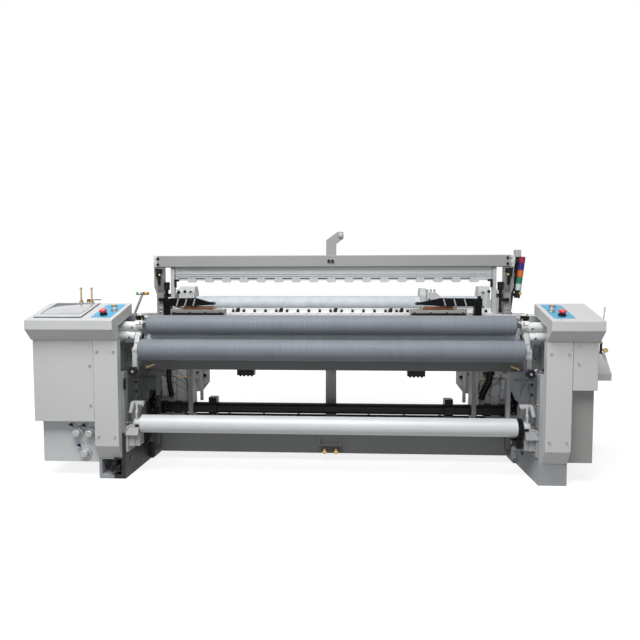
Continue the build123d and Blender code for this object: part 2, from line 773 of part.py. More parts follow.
# Column covers, control boxes and cabinets
save("right_column_cover", column_cover())
save("left_column_cover", other_side(column_cover()))
left_desk = other_side(control_box(cover_inner, left_box_outer))
right_desk = control_box(cover_inner, right_box_outer)
panel_low = stop_place[1] - 40
panel_high = start_place[1] + 48
panel_outline = Polygon((frame_inner + 42, panel_low), (foot_outer, panel_low), (foot_outer, panel_high - 18),
                        (foot_outer - 18, panel_high), (frame_inner + 42, panel_high), align=None)
right_panel = extrude(desk_plane(0, 0) * panel_outline, 2)
panels = {1: right_panel, -1: other_side(right_panel)}
for side, side_name in ((-1, "left"), (1, "right")):
    for use, place in (("stop", stop_place), ("jog", jog_place), ("start", start_place)):
        neck = stop_neck if use == "stop" else small_button
        ring_height = 14 if use == "stop" else 9
        cap_height = ring_height + button_stroke + (4 if use == "stop" else 2)
        plane = desk_plane(side * (frame_inner + place[0]), place[1])
        hole = extrude(plane * Circle(neck + body_gap), -14)
        if side > 0:
            right_desk -= hole
        else:
            left_desk -= hole
        panels[side] += extrude(plane * Circle(neck + 6), ring_height)
        panels[side] -= extrude(plane * Circle(neck + body_gap), ring_height)
        cap = extrude(plane.offset(-8) * Circle(neck), cap_height + 8)
        if use == "stop":
            head = extrude(plane.offset(ring_height + button_stroke + 2) * Circle(stop_head_radius), 14)
            cap += fillet(head.edges().filter_by(GeomType.CIRCLE), 5)
        save(f"{side_name}_{use}_button", cap)
save("button_panels", panels[1], panels[-1])
screen_plane = desk_plane(-frame_inner - screen_outward, screen_along)
screen = extrude(screen_plane * RectangleRounded(screen_width, screen_length, 10), screen_thick)
screen -= extrude(screen_plane.offset(screen_thick - 2) * (Pos(-2, 12) * Rectangle(glass_width, glass_length)), 2)
save("touch_screen", screen)
save("left_control_box", left_desk)
save("right_control_box", right_desk)
save("left_cabinet", other_side(cabinet(left_cabinet_outer, left_cabinet_bottom, left_cabinet_depth)))
save("right_cabinet", cabinet(right_cabinet_outer, right_cabinet_bottom, right_cabinet_depth))
panel_back = panel_front + panel_length
save("lower_panels",
     block(-left_panel_outer, -foot_outer - 1, panel_front, panel_back, left_panel_bottom, left_cabinet_bottom),
     block(foot_outer + 1, right_panel_outer, panel_front, panel_back, right_panel_bottom, right_cabinet_bottom))
tray_back = tray_front + tray_depth
tray = side_plate([
    (tray_front, tray_low), (tray_front, tray_low + tray_lip), (tray_front + tray_slope, tray_high),
    (tray_back, tray_high), (tray_back, tray_low),
], right_cabinet_outer, tray_outer)
rod_x = tray_outer - 26
stand_y = tray_front + tray_slope + 8
stand = Plane(origin=(rod_x, stand_y, tray_high - 10), z_dir=(0.08, 0, 1)) * Circle(4)
save("side_tray", tray + extrude(stand, 285))

# Regulators on the left lower panel, with their knobs and elbow fittings
regulators = []
for outward, z in regulator_places:
    x = -cabinet_inner - outward
    unit = rod_y(x, panel_front - 12, panel_front, z, regulator_flange)
    unit += rod_y(x, panel_front - 42, panel_front - 12, z, regulator_knob)
    unit = chamfer(unit.edges().filter_by(GeomType.CIRCLE).group_by(Axis.Y)[0], 3)
    regulators.append(unit)
    elbow_x = x - regulator_flange - 3
    elbow = rod_y(elbow_x, panel_front - 24, panel_front, z + 34, 6)
    regulators.append(elbow + rod_z(elbow_x, panel_front - 18, z + 34, z + 52, 6))
save("air_regulators", *regulators)

# Brass air pipes behind the left desk with the lever of their valve, and the shut-off valve on the tray
pipe_y = box_back + 16
valve_y = pipe_y + 24
valve_x = -cabinet_inner - valve_outward + 3
manifold_left = -cabinet_inner - pipe_places[0] - 17
pipes = block(manifold_left, -cabinet_inner - pipe_places[1] + 20, box_back, valve_y + 14, manifold_low, manifold_high)
for outward in pipe_places:
    pipes += rod_z(-cabinet_inner - outward, pipe_y, manifold_high, pipe_top, pipe_radius)
    pipes += extrude(Plane.XY.offset(manifold_high) * Pos(-cabinet_inner - outward, pipe_y) * RegularPolygon(14, 6), 28)
pipes += rod_z(valve_x, valve_y, manifold_high, manifold_high + 30, 12)
wheel_y = stand_y - 72
shut_off = rod_z(rod_x, stand_y - 14, tray_high, tray_high + 66, 8)
shut_off += rod_y(rod_x + 4, wheel_y + 8, stand_y - 14, tray_high + 20, 5)
shut_off += rod_y(rod_x + 4, wheel_y, wheel_y + 12, tray_high + 20, 14)
save("air_pipes", pipes, shut_off)
lever_z = manifold_high + 30
valve = rod_z(valve_x, valve_y, lever_z + body_gap, lever_z + 10, 9)
save("air_valve_lever", valve + block(valve_x - 8, valve_x + 74, valve_y - 6, valve_y + 6, lever_z + 4, lever_z + 9))

# Rollers
save("guide_roller", roller(guide_half, guide_y, guide_z, guide_radius, roller_shaft, boss_inner + 60))
save("take_up_roller", roller(take_up_half, take_up_y, take_up_z, take_up_radius, take_up_shaft, frame_outer - 6))
save("press_roller", roller(press_half, press_y, press_z, press_radius, roller_shaft, lever_outer + lever_step))
tube = rod(cloth_left, cloth_right, cloth_y, cloth_z, cloth_radius)
tube = chamfer(tube.edges().filter_by(GeomType.CIRCLE), 2)
tube -= rod(cloth_left, cloth_left + 12, cloth_y, cloth_z, cloth_radius - cloth_wall)
save("cloth_roller", tube, rod(-journal_end, cloth_left + 12, cloth_y, cloth_z, journal_radius),
     rod(cloth_right, journal_end, cloth_y, cloth_z, journal_radius))
gear_right = gear_left + gear_width
save("cloth_roller_gear", gear(gear_left, gear_right, cloth_y, cloth_z, gear_teeth, journal_radius, 0.0))
pinion_bore = stub_radius + running_fit
pinion = gear(gear_left, gear_right, cloth_y, pinion_z, pinion_teeth, pinion_bore, pi / 2 + pi / pinion_teeth)
pinion += rod(gear_left - 26, gear_left, cloth_y, pinion_z, gear_hub)
save("cloth_drive_pinion", pinion - rod(gear_left - 26, gear_left, cloth_y, pinion_z, pinion_bore))
save("roller_brackets", *both_sides(roller_bracket()))
save("right_press_lever", press_lever())
save("left_press_lever", other_side(press_lever()))
pinion_stub = rod(gear_left - 30, seat_inner, cloth_y, pinion_z, stub_radius)
save("cloth_roller_seats", cloth_seat(gear_right + 8) + pinion_stub, other_side(cloth_seat(seat_inner - 27)))
save("right_roller_latch", *roller_latch())
save("left_roller_latch", *[other_side(piece) for piece in roller_latch()])
save("right_star_knob", star_knob())
save("left_star_knob", other_side(star_knob()))

# Sley
sword_x = sley_half - sword_inset
shaft = rod(-shaft_half, shaft_half, shaft_y, shaft_z, shaft_radius)
shaft += rod(-bearing_inner - 40, bearing_inner + 40, shaft_y, shaft_z, shaft_journal)
for x in (-sword_x + 133, sword_x - 146):
    shaft += shaft_collar(x, 50, 12) + block(x - 25, x + 25, shaft_y - 32, shaft_y + 32, shaft_z, shaft_z + 68)
for inset in (34, 132):
    shaft += shaft_collar(shaft_half - inset, 44, 7) + shaft_collar(inset - shaft_half, 44, 7)
save("rocking_shaft", shaft)
save("sley_swords", *both_sides(sley_sword(sword_x)))
sley = block(-sley_half, sley_half, sley_front, sley_back, sley_low, sley_high)
sley += block(-sley_half, sley_half, sley_back - 22, sley_back, sley_high, reed_rail_high)
sley -= block(-sley_half, sley_half, sley_front + 22, sley_back - 30, sley_high - 26, sley_high)
sley -= block(-sley_half, sley_half, sley_front, sley_front + 8, sley_low + 24, sley_low + 40)
save("sley_beam", sley)
nozzles = [relay_nozzle((i - (nozzle_count - 1) / 2) * nozzle_pitch) for i in range(nozzle_count)]
for i in (-9, -5, 0, 5, 6):
    # The larger holders of the weft feelers stand between two nozzles.
    x = (i + 0.4) * nozzle_pitch
    nozzles.append(front_plate([(x - 13, sley_high), (x + 13, sley_high), (x + 16, sley_high + 26),
                                (x - 2, sley_high + 26)], sley_front + 2, sley_front + nozzle_depth))
save("relay_nozzles", *nozzles)

# Temples
save("temple_bars", temple_bar(temple_left), temple_bar(temple_right))
save("temple_covers", temple_cover(temple_left, -1, 207, 98), temple_cover(temple_right, 1, 248, 131))
save("left_temple_roller", temple_roller(temple_left))
save("right_temple_roller", temple_roller(temple_right))

# Upper rail
rail = block(-rail_half, rail_half, rail_front, rail_front + rail_depth, rail_low, rail_high)
rail = chamfer(rail.edges().filter_by(Axis.X), 3)
for side in (-1, 1):
    for z in (rail_low + 18, rail_high - 18):
        rail += rod_y(side * (rail_half - 20), rail_front - 4, rail_front, z, 6)
    rail += rod_y(side * 11 - 3, rail_front - 4, rail_front, rail_low + 36, 7)
save("top_rail", rail)
guide_y0 = rail_front + 28
guide_y1 = guide_y0 + guide_rail_thick
guide_rail = block(-guide_rail_half, guide_rail_half, guide_y0, guide_y1, guide_rail_low, rail_low)
for z, height in ((rail_low - 16, 16), (guide_rail_low + 38, 5), (guide_rail_low + 26, 3)):
    guide_rail += block(-guide_rail_half, guide_rail_half, guide_y0 - 4, guide_y0, z, z + height)
for i in range(tab_count):
    x = (i - (tab_count - 1) / 2) * tab_pitch
    guide_rail += front_plate([(x - tab_half, guide_rail_low), (x - tab_foot, guide_rail_low - tab_drop),
                               (x + tab_foot, guide_rail_low - tab_drop), (x + tab_half, guide_rail_low)],
                              guide_y0, guide_y1)
    if i < tab_count - 1:
        guide_rail -= block(x + tab_half - 8, x + tab_pitch - tab_half + 8, guide_y0, guide_y0 + 9,
                            guide_rail_low + 7, guide_rail_low + 12)
save("heald_guide_rail", guide_rail)
rail_back = rail_front + rail_depth
half = hoist_width / 2
arm = front_plate([(-half - 2, rail_low + 6), (half - 2, rail_low + 6), (half - 2, hoist_top - 72),
                   (half + 42, hoist_top - 40), (half + 42, hoist_top), (half + 8, hoist_top),
                   (-half - 2, hoist_top - 52)], rail_back, rail_back + 40)
arm += rod_y(half + 28, rail_back - 8, rail_back + 48, hoist_top - 22, 15)
save("hoist_arm", arm)
post_inner = rail_half - post_width
slim_inner = guide_rail_half + 2
post_back = post_front + post_depth
slim_front = (post_front + post_back) / 2 - slim_width / 2
slim_back = slim_front + slim_width
post = front_plate([(post_inner, frame_top), (post_inner + post_foot, frame_top), (post_inner + post_foot, post_flare[0]),
                    (rail_half, post_flare[1]), (rail_half, rail_low), (post_inner, rail_low)], post_front, post_back)
post += block(slim_inner, slim_inner + slim_width, slim_front, slim_back, frame_top, rail_low)
knob_x = (slim_inner + slim_width + post_inner) / 2
post += block(slim_inner + slim_width, post_inner, slim_front + 4, slim_back - 4, 1010, 1034)
knob_post = post + rod_z(knob_x, slim_front - 14, 915, 1062, 7) + block(
    knob_x - 8, knob_x + 8, slim_front - 14, slim_front + 4, 1010, 1034)
knob_post += rod_z(knob_x, slim_front - 14, 1062, 1106, 17)
save("rail_posts", knob_post, other_side(knob_post))

# Signal tower on a pole that leans outward beside it
tower_x = frame_inner + tower_outward
tower_z = (tower_lean, 0, 1)
pole_y = ledge_back - 30
foot_x = tower_x - pole_shift - tower_lean * (tower_base - frame_top)
head_x = foot_x + tower_lean * (rail_high - frame_top)
pole = extrude(Plane(origin=(foot_x, pole_y, frame_top + 4), x_dir=(1, 0, 0), z_dir=tower_z) * Circle(pole_radius),
               rail_high - frame_top)
pole += block(foot_x - 22, frame_inner, pole_y - 20, pole_y + 20, frame_top, frame_top + 12)
pole += block(head_x - 19, head_x + 19, pole_y - 16, pole_y + 16, rail_high - 10, rail_high + 34)
tower_y = pole_y - pole_radius - tier_radius - 4
tower = Plane(origin=(tower_x, tower_y, tower_base), x_dir=(1, 0, 0), z_dir=tower_z)
tower_parts = [pole + extrude(tower.offset(-46) * Circle(tier_radius), 46)]
tower_parts[0] += block(tower_x - pole_shift - 8, tower_x, tower_y, pole_y, tower_base - 34, tower_base - 14)
for i in range(tier_count):
    lens = extrude(tower.offset(i * tier_height + body_gap) * Circle(tier_radius), tier_height - body_gap)
    tower_parts.append(fillet(lens.edges().filter_by(GeomType.CIRCLE), 3))
save("tower_light", *tower_parts)

# Drive boxes and motors, with the hoses that the housings hold
right_boxes = drive_box()
save("drive_boxes", *right_boxes, *[other_side(box) for box in drive_box()])
hose_y = housing_front - 40
right_hose = hose(20, 40, (frame_inner - 122, hose_y, 560), (frame_inner - 132, hose_y, 478),
                  (frame_inner - 170, hose_y, 400), (frame_inner - 178, hose_y, 362))
left_hose = hose(15, 60, (70 - frame_inner, hose_y, 610), (72 - frame_inner, hose_y, 470),
                 (88 - frame_inner, hose_y, 362))
clips = [block(frame_inner - 166, frame_inner - 96, hose_y - 4, housing_front - 16, 520, 536),
         block(62 - frame_inner, 112 - frame_inner, hose_y - 4, housing_front - 16, 560, 576)]
save("servo_motors", motor(frame_inner - 100, housing_back, 1060, 470, 78),
     other_side(motor(frame_inner - 90, housing_back, 990, 430, 56)), right_hose + clips[0], left_hose + clips[1])

# Backrest
arms = []
for side, outer in ((1, arm_inner + 87), (-1, frame_outer - 12)):
    arm = backrest_arm() + backrest_head(outer)
    arms.append(arm if side > 0 else other_side(arm))
save("backrest_arms", *arms, roller_carrier())
save("backrest_roller", rod(-backrest_half, backrest_half, backrest_y, backrest_z, backrest_radius)
     + rod(-backrest_half - 56, backrest_half + 56, backrest_y, backrest_z, backrest_shaft))

# Valve boxes under the breast beam, and the sensor lamp on its stalk
valves = []
for x in (624 - frame_inner, frame_inner - 620):
    valve_box = block(x - 52, x + 52, breast_beam[0] + 6, breast_beam[0] + 60, breast_beam[2] - 34, breast_beam[2])
    for shift in (-34, -12, 12, 34):
        valve_box += rod_z(x + shift, breast_beam[0] + 24, breast_beam[2] - 42, breast_beam[2] - 34, 7)
    valves.append(valve_box)
save("valve_boxes", *valves)
lamp_x = -frame_inner - 34
lamp_y = 300.0
stalk = rod_z(lamp_x, lamp_y, frame_top, frame_top + 12, 16)
stalk += extrude(Plane(origin=(lamp_x + 2, lamp_y, frame_top + 6), z_dir=(0.42, 0, 1)) * Circle(7), 124)
save("sensor_lamp", stalk + rod(lamp_x + 16, lamp_x + 88, lamp_y, frame_top + 129, 9))

# Screws of the covers
screws = []
for side in (-1, 1):
    for x in (cover_inner + 21, foot_outer - 21):
        for z in (cover_bend + 51, cover_top - 63):
            screws.append(hex_screw(side * x, 0, z))
for x, z in ((-cabinet_inner - 19, 640), (-cabinet_inner - 19, 420), (cabinet_inner + 29, 762),
             (cabinet_inner + 29, 664)):
    screws.append(hex_screw(x, cabinet_front, z))
save("cover_screws", *screws)
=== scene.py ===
import bpy
import bmesh
from math import cos, pi, radians, sin
from mathutils import Matrix, Vector


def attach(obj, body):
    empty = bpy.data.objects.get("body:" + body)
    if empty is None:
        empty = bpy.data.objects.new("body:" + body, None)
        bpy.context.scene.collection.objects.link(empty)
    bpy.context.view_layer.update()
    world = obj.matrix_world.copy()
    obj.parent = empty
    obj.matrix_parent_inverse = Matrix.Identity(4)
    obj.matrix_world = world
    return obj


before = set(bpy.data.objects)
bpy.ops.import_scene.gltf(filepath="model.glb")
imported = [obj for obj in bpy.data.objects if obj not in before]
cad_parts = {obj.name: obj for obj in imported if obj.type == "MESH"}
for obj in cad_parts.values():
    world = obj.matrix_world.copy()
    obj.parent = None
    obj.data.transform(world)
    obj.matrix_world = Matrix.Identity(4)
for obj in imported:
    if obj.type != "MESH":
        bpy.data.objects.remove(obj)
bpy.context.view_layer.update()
print("frame loaded:", len(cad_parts), "nodes")

# Places below are in millimetres, with Y counted from the front faces of the columns.
columnFront = -783.0


# Camera at the photograph's place: low in front of the machine, a little to the right of its middle.
view = {"place": (0.108, -3.753, 1.024), "down": 3.36, "left": 2.9, "lens": 31.5, "shiftUp": 0.0125}
cameraData = bpy.data.cameras.new("photoView")
cameraData.sensor_width = 36
cameraData.lens = view["lens"]
cameraData.shift_y = view["shiftUp"]
cameraData.clip_end = 100
camera = bpy.data.objects.new("photoView", cameraData)
camera.location = view["place"]
camera.rotation_euler = (radians(90 - view["down"]), 0, radians(view["left"]))
bpy.context.scene.collection.objects.link(camera)
bpy.context.scene.camera = camera
bpy.context.scene.view_settings.view_transform = "Standard"
print("camera set")


class Wire:
    # A socket of a shader, with Python's own signs for its maths.
    def __init__(self, finish, socket):
        self.finish = finish
        self.socket = socket

    def maths(self, sign, first, second=None):
        values = {0: first} if second is None else {0: first, 1: second}
        return self.finish.add("ShaderNodeMath", {"operation": sign}, values)

    def __rsub__(self, other):
        return self.maths("SUBTRACT", other, self)

    def __abs__(self):
        return self.maths("ABSOLUTE", self)


for sign, word in (("add", "ADD"), ("radd", "ADD"), ("sub", "SUBTRACT"), ("mul", "MULTIPLY"), ("rmul", "MULTIPLY"),
                   ("truediv", "DIVIDE"), ("gt", "GREATER_THAN"), ("lt", "LESS_THAN")):
    setattr(Wire, "__" + sign + "__", lambda self, other, word=word: self.maths(word, self, other))


class Finish:
    # The shader of a material or of the world, built node by node.
    def __init__(self, name, kind="Material"):
        self.owner = (bpy.data.worlds if kind == "World" else bpy.data.materials).new(name)
        self.owner.use_nodes = True
        self.tree = self.owner.node_tree
        self.tree.nodes.clear()
        self.output = self.tree.nodes.new("ShaderNodeOutput" + kind)
        self.place = self.add("ShaderNodeTexCoord", {}, {}, "Object")

    def add(self, kind, settings, values, out=0):
        node = self.tree.nodes.new(kind)
        for name, value in settings.items():
            if name == "stops":
                ramp = node.color_ramp
                while len(ramp.elements) < len(value):
                    ramp.elements.new(0.5)
                for element, (position, colour) in zip(ramp.elements, value):
                    element.position = position
                    element.color = (*colour, 1)
            elif name == "ramp":
                node.color_ramp.interpolation = value
            else:
                setattr(node, name, value)
        for name, value in values.items():
            socket = node.inputs[name]
            if isinstance(value, Wire):
                self.tree.links.new(value.socket, socket)
            elif isinstance(value, tuple) and len(value) == 3 and len(socket.default_value) == 4:
                socket.default_value = (*value, 1)
            else:
                socket.default_value = value
        return Wire(self, node.outputs[out])

    def axes(self):
        # Place on the machine in millimetres, as the pieces below are given.
        node = self.tree.nodes.new("ShaderNodeSeparateXYZ")
        self.tree.links.new(self.place.socket, node.inputs[0])
        x, y, z = [Wire(self, node.outputs[axis]) * 1000 for axis in range(3)]
        return x, y - columnFront, z

    def stretch(self, scale):
        return self.add("ShaderNodeMapping", {}, {"Vector": self.place, "Scale": scale})

    def noise(self, scale, detail=3.0, vector=None):
        return self.add("ShaderNodeTexNoise", {}, {"Vector": vector or self.place, "Scale": scale, "Detail": detail})

    def ramp(self, value, low, high):
        return self.add("ShaderNodeMapRange", {"clamp": True},
                        {"Value": value, "From Min": low, "From Max": high})

    def mix(self, share, first, second):
        return self.add("ShaderNodeMix", {"data_type": "RGBA"}, {0: share, 6: first, 7: second}, 2)

    def banded(self, stops, value):
        # Colours that follow each other along a value without blending.
        return self.add("ShaderNodeValToRGB", {"ramp": "CONSTANT", "stops": stops}, {"Fac": value})

    def bump(self, height, strength, distance, softEdge=0.0):
        values = {"Height": height, "Strength": strength, "Distance": distance}
        if softEdge:
            values["Normal"] = self.add("ShaderNodeBevel", {"samples": 4}, {"Radius": softEdge})
        return self.add("ShaderNodeBump", {}, values)

    def rubbedEdge(self, radius):
        # 0 on flat faces, 1 where an edge turns.
        rounded = self.add("ShaderNodeBevel", {"samples": 4}, {"Radius": radius})
        flat = self.add("ShaderNodeNewGeometry", {}, {}, "Normal")
        same = self.add("ShaderNodeVectorMath", {"operation": "DOT_PRODUCT"}, {0: rounded, 1: flat}, 1)
        return self.ramp(1 - same, 0.02, 0.25)

    def seen(self):
        # 1 for rays that carry what they meet to the camera: straight, off a shine or through glass.
        node = self.tree.nodes.new("ShaderNodeLightPath")
        straight, shine, glass = [Wire(self, node.outputs["Is " + ray + " Ray"])
                                  for ray in ("Camera", "Glossy", "Transmission")]
        return glass.maths("MAXIMUM", straight.maths("MAXIMUM", straight, shine), glass)

    def worn(self, shade, radius, share, edgeColour, touched, metallic=0.0):
        # Rubbed edges first, then the further colours that a finish has of its own.
        shade = self.mix(self.rubbedEdge(radius) * share, shade, edgeColour)
        return touched(self, shade, *self.axes()) if touched else (shade, metallic)

    def show(self, shader):
        self.tree.links.new(shader.socket, self.output.inputs["Surface"])
        return self.owner

    def surface(self, colour, roughness, normal=None, metallic=0.0, **constants):
        values = {"Base Color": colour, "Roughness": roughness, "Metallic": metallic}
        if normal is not None:
            values["Normal"] = normal
        values.update({name.replace("_", " "): value for name, value in constants.items()})
        return self.show(self.add("ShaderNodeBsdfPrincipled", {}, values))


def toned(colour, factor, lift=0.0):
    return tuple(min(1.0, c * factor + lift) for c in colour)


def paintFinish(name, colour, edgeColour, grain=900, grainDepth=0.00006, roughness=0.42, softEdge=0.0022,
                touched=None, specular=0.5):
    # Powder coat: fine orange peel, faint clouds of shade, dust low down, a lighter line where an edge is rubbed.
    f = Finish(name)
    shade = f.mix(f.ramp(f.noise(2.2, 4.0), 0.3, 0.75), toned(colour, 0.96), toned(colour, 1.03))
    dust = f.ramp(220 - f.axes()[2], 0, 220) * f.ramp(f.noise(9.0, 5.0), 0.35, 0.75)
    shade = f.mix(dust * 0.22, shade, toned(colour, 0.74))
    shade, metallic = f.worn(shade, softEdge, 0.5, edgeColour, touched)
    gloss = roughness + 0.08 * (f.noise(60.0, 2.0) - 0.5)
    return f.surface(shade, gloss, f.bump(f.noise(grain, 2.0), 0.25, grainDepth, softEdge), metallic,
                     Specular_IOR_Level=specular)


def castFinish(name, colour, roughness=0.5, metallic=0.0, scratch=0.14, softEdge=0.003, touched=None, specular=0.4):
    # Sand-cast skin under paint or bare: pitted grain, darker hollows, rubbed edges.
    f = Finish(name)
    grain = f.noise(420.0, 4.0)
    shade = f.mix(f.ramp(f.noise(6.0, 5.0), 0.3, 0.7), toned(colour, 0.88), toned(colour, 1.08))
    shade, metallic = f.worn(shade, softEdge, scratch * 4, toned(colour, 1.5, 0.04), touched, metallic)
    gloss = roughness + 0.16 * (f.noise(35.0, 3.0) - 0.5)
    return f.surface(shade, gloss, f.bump(grain, 0.3, 0.0002, softEdge), metallic, Specular_IOR_Level=specular)


def turnedFinish(name, colour, axis="X", roughness=0.34, metallic=1.0, lines=1400, softEdge=0.0012, touched=None):
    # Turned or drawn metal with fine lines across or along it.
    f = Finish(name)
    scale = {"X": (lines, 6, 6), "Y": (6, lines, 6), "Z": (6, 6, lines), "along": (3, lines / 4, lines / 4)}[axis]
    streaks = f.noise(1.0, 3.0, f.stretch(scale))
    smear = f.noise(9.0, 4.0)
    shade = f.mix(f.ramp(streaks * 0.6 + smear * 0.4, 0.3, 0.7), toned(colour, 0.84), colour)
    if touched:
        shade, metallic = touched(f, shade, *f.axes())
    gloss = roughness + 0.14 * (smear - 0.5) + 0.08 * (streaks - 0.5)
    return f.surface(shade, gloss, f.bump(streaks, 0.12, 0.0001, softEdge), metallic)


def rollerCoverFinish(name, low, high):
    # Ground rubber on the rollers: speckled, matt, with faint grinding rings.
    f = Finish(name)
    speckle = f.noise(520.0, 3.0)
    rings = f.noise(1.0, 3.0, f.stretch((160, 2, 2)))
    dust = f.noise(5.0, 5.0)
    shade = f.mix(f.ramp(speckle, 0.32, 0.68), low, high)
    shade = f.mix(f.ramp(rings * 0.5 + dust * 0.5, 0.42, 0.62) * 0.22, shade, toned(high, 1.2))
    gloss = 0.5 + 0.14 * (speckle - 0.5)
    return f.surface(shade, gloss, f.bump(speckle, 0.5, 0.00025, 0.004), 0.0, Specular_IOR_Level=0.2)


def plasticFinish(name, colour, roughness=0.35, grain=1500, coat=0.0, softEdge=0.001, touched=None, specular=0.5):
    # Moulded plastic: faint clouds, a fine grain, edges a little lighter.
    f = Finish(name)
    clouds = f.noise(14.0, 3.0)
    shade = f.mix(f.ramp(clouds, 0.3, 0.7), toned(colour, 0.9), toned(colour, 1.06))
    shade, metallic = f.worn(shade, softEdge, 0.3, toned(colour, 1.3, 0.03), touched)
    gloss = roughness + 0.1 * (clouds - 0.5)
    return f.surface(shade, gloss, f.bump(f.noise(grain, 2.0), 0.15, 0.00004, softEdge), metallic, Coat_Weight=coat,
                     Specular_IOR_Level=specular)


# The sloping desk tops, which rise from the front edge to the back.
desk = {"front": -60.0, "edge": 891.0, "run": 280.0, "rise": 85.0, "tilt": 0.2947}
deskSpan = (desk["run"] ** 2 + desk["rise"] ** 2) ** 0.5


def aboveDesk(y, z):
    # Height off the slope.
    return ((z - desk["edge"]) * desk["run"] - (y - desk["front"]) * desk["rise"]) / deskSpan


def between(value, low, high):
    return (value > low) * (value < high)


def inDisc(y, z, middle, radius):
    # 1 inside a circle that is seen from the side of the machine.
    across, up = y - middle[0], z - middle[1]
    return (across * across + up * up) < radius * radius


def stopButtonTouch(f, shade, x, y, z):
    # The mushroom is red, its neck black.
    head = aboveDesk(y, z) > 18.5
    return f.mix(head, (0.02, 0.02, 0.022), shade), 0.0


def buttonPanelTouch(f, shade, x, y, z):
    # The printed sheet is blue, the sleeves that stand on it are black.
    sleeve = aboveDesk(y, z) > 2.6
    return f.mix(sleeve, shade, (0.022, 0.022, 0.024)), 0.0


tower = {"base": 1052.0, "foot": 1160.0, "lean": (0.1191, 0.9929), "lensFront": 593.5, "capLow": 1261.0,
         "turn": 0.1194, "tier": 42.0, "colours": [(0.52, 0.60, 0.58), (0.004, 0.19, 0.085), (0.62, 0.12, 0.008),
                                                   (0.018, 0.012, 0.20), (0.27, 0.003, 0.04)]}


def towerTouch(f, shade, x, y, z):
    # Lenses by their height up the leaning tube, light cap on the pole, everything else black.
    height = (z - tower["base"]) * tower["lean"][1] + (x - tower["foot"]) * tower["lean"][0]
    tiers = len(tower["colours"])
    stops = [(i / tiers, colour) for i, colour in enumerate(tower["colours"])]
    # Fine upright ribs on the lenses, painted a little lighter as painted highlights.
    ribs = f.noise(1.0, 1.0, f.stretch((900, 900, 3)))
    lenses = f.banded(stops, height / (tower["tier"] * tiers))
    lenses = f.mix(f.ramp(ribs, 0.45, 0.6) * 0.07, lenses, (0.8, 0.8, 0.8))
    onLens = (y < tower["lensFront"]) * (height > 0)
    return f.mix(onLens, f.mix(z > tower["capLow"], shade, (0.42, 0.43, 0.43)), lenses), 0.0


def lampTouch(f, shade, x, y, z):
    # Coloured rings along the lamp at the top of the bent stalk.
    lamp = {"start": -1148, "length": 72, "low": 1024}
    rings = [(0.0, (0.10, 0.35, 0.10)), (0.22, (0.75, 0.78, 0.72)), (0.36, (0.30, 0.31, 0.30)),
             (0.60, (0.02, 0.02, 0.02)), (0.72, (0.85, 0.38, 0.02)), (0.93, (0.02, 0.02, 0.02))]
    onLamp = z > lamp["low"]
    return f.mix(onLamp, shade, f.banded(rings, (x - lamp["start"]) / lamp["length"])), 0.65 * (1 - onLamp)


def beamTouch(f, shade, x, y, z):
    # A lighter centre strut; the two balls that hang from the middle of the front beam are brass.
    ball = (y < 422) * (z < 86) * (abs(x) < 60)
    strut = (z > 300) * (abs(x) < 100)
    shade = f.mix(strut, shade, (0.33, 0.345, 0.35))
    return f.mix(ball, shade, (0.62, 0.42, 0.16)), ball * 0.9


def templeTouch(f, shade, x, y, z):
    # The ribs and the lower edge of the temple covers are rubbed grey.
    rib = (y < 299.4) * between(z, 958, 1008)
    return f.mix(rib * 0.85, shade, (0.46, 0.47, 0.46)), 0.0


def backrestTouch(f, shade, x, y, z):
    # A green gasket between the flange and the body of the roller carrier.
    gasket = between(x, 712, 719) * (y > 1400)
    return f.mix(gasket, shade, (0.03, 0.33, 0.20)), 0.0


def pipeTouch(f, shade, x, y, z):
    # The shut-off valve at the tray has a black body and a brass wheel.
    body = (x > 1400) * (y > 427)
    return f.mix(body, shade, (0.02, 0.02, 0.022)), 1 - body


def frameTouch(f, shade, x, y, z):
    # Oily, darker paint round the bearings of the rocking shaft; the inside of the left frame is painted dark all over
    # as painted shade, darkest below 255 mm.
    bearing = (abs(x) < 1131) * inDisc(y, z, (480, 340), 105)
    shade = f.mix(bearing * 0.9, shade, (0.028, 0.028, 0.03))
    leftInsideShade = between(x, -1196, -1000) * between(y, 6, 900)
    shade = f.mix(leftInsideShade * (0.97 - 0.63 * f.ramp(z, 255, 265)), shade, (0.022, 0.023, 0.022))
    # Painted light: the right frame behind the rollers and the front of the left foot are painted lighter. The ribs'
    # feet are darker, in the grey of the beam.
    bulkheadLight = (x > 0) * between(y, 300, 700) * (z > 190)
    shade = f.mix(bulkheadLight, shade, (0.66, 0.68, 0.71))
    leftFootLight = (y < 12) * (z < 190) * (x < 0)
    shade = f.mix(leftFootLight, shade, (0.52, 0.54, 0.55))
    ribFeet = (abs(x) < 1079) * (z < 215)
    return f.mix(ribFeet, shade, (0.12, 0.125, 0.125)), 0.0


def seatTouch(f, shade, x, y, z):
    # The left seat is painted lighter than the right one, as painted light.
    return f.mix(x < 0, shade, (0.40, 0.405, 0.39)), 0.0


def postTouch(f, shade, x, y, z):
    # Outer uprights painted darker as painted shade on their faces, inner ones lighter, black threaded rods and knobs
    # between them.
    outer = (abs(x) > 1065) * between(z, 600, 1190)
    inner = between(abs(x), 986, 1024) * between(z, 860, 1190)
    rods = between(abs(x), 1023, 1065) * (z < 1150)
    shade = f.mix(outer, shade, (0.23, 0.235, 0.23))
    shade = f.mix(inner, shade, (0.44, 0.45, 0.445))
    return f.mix(rods, shade, (0.010, 0.010, 0.012)), 0.0


def lowerPanelTouch(f, shade, x, y, z):
    # The right lower panel is painted darker and a little warmer, as painted shade from its cabinet.
    return f.mix(x > 0, shade, (0.30, 0.305, 0.295)), 0.0


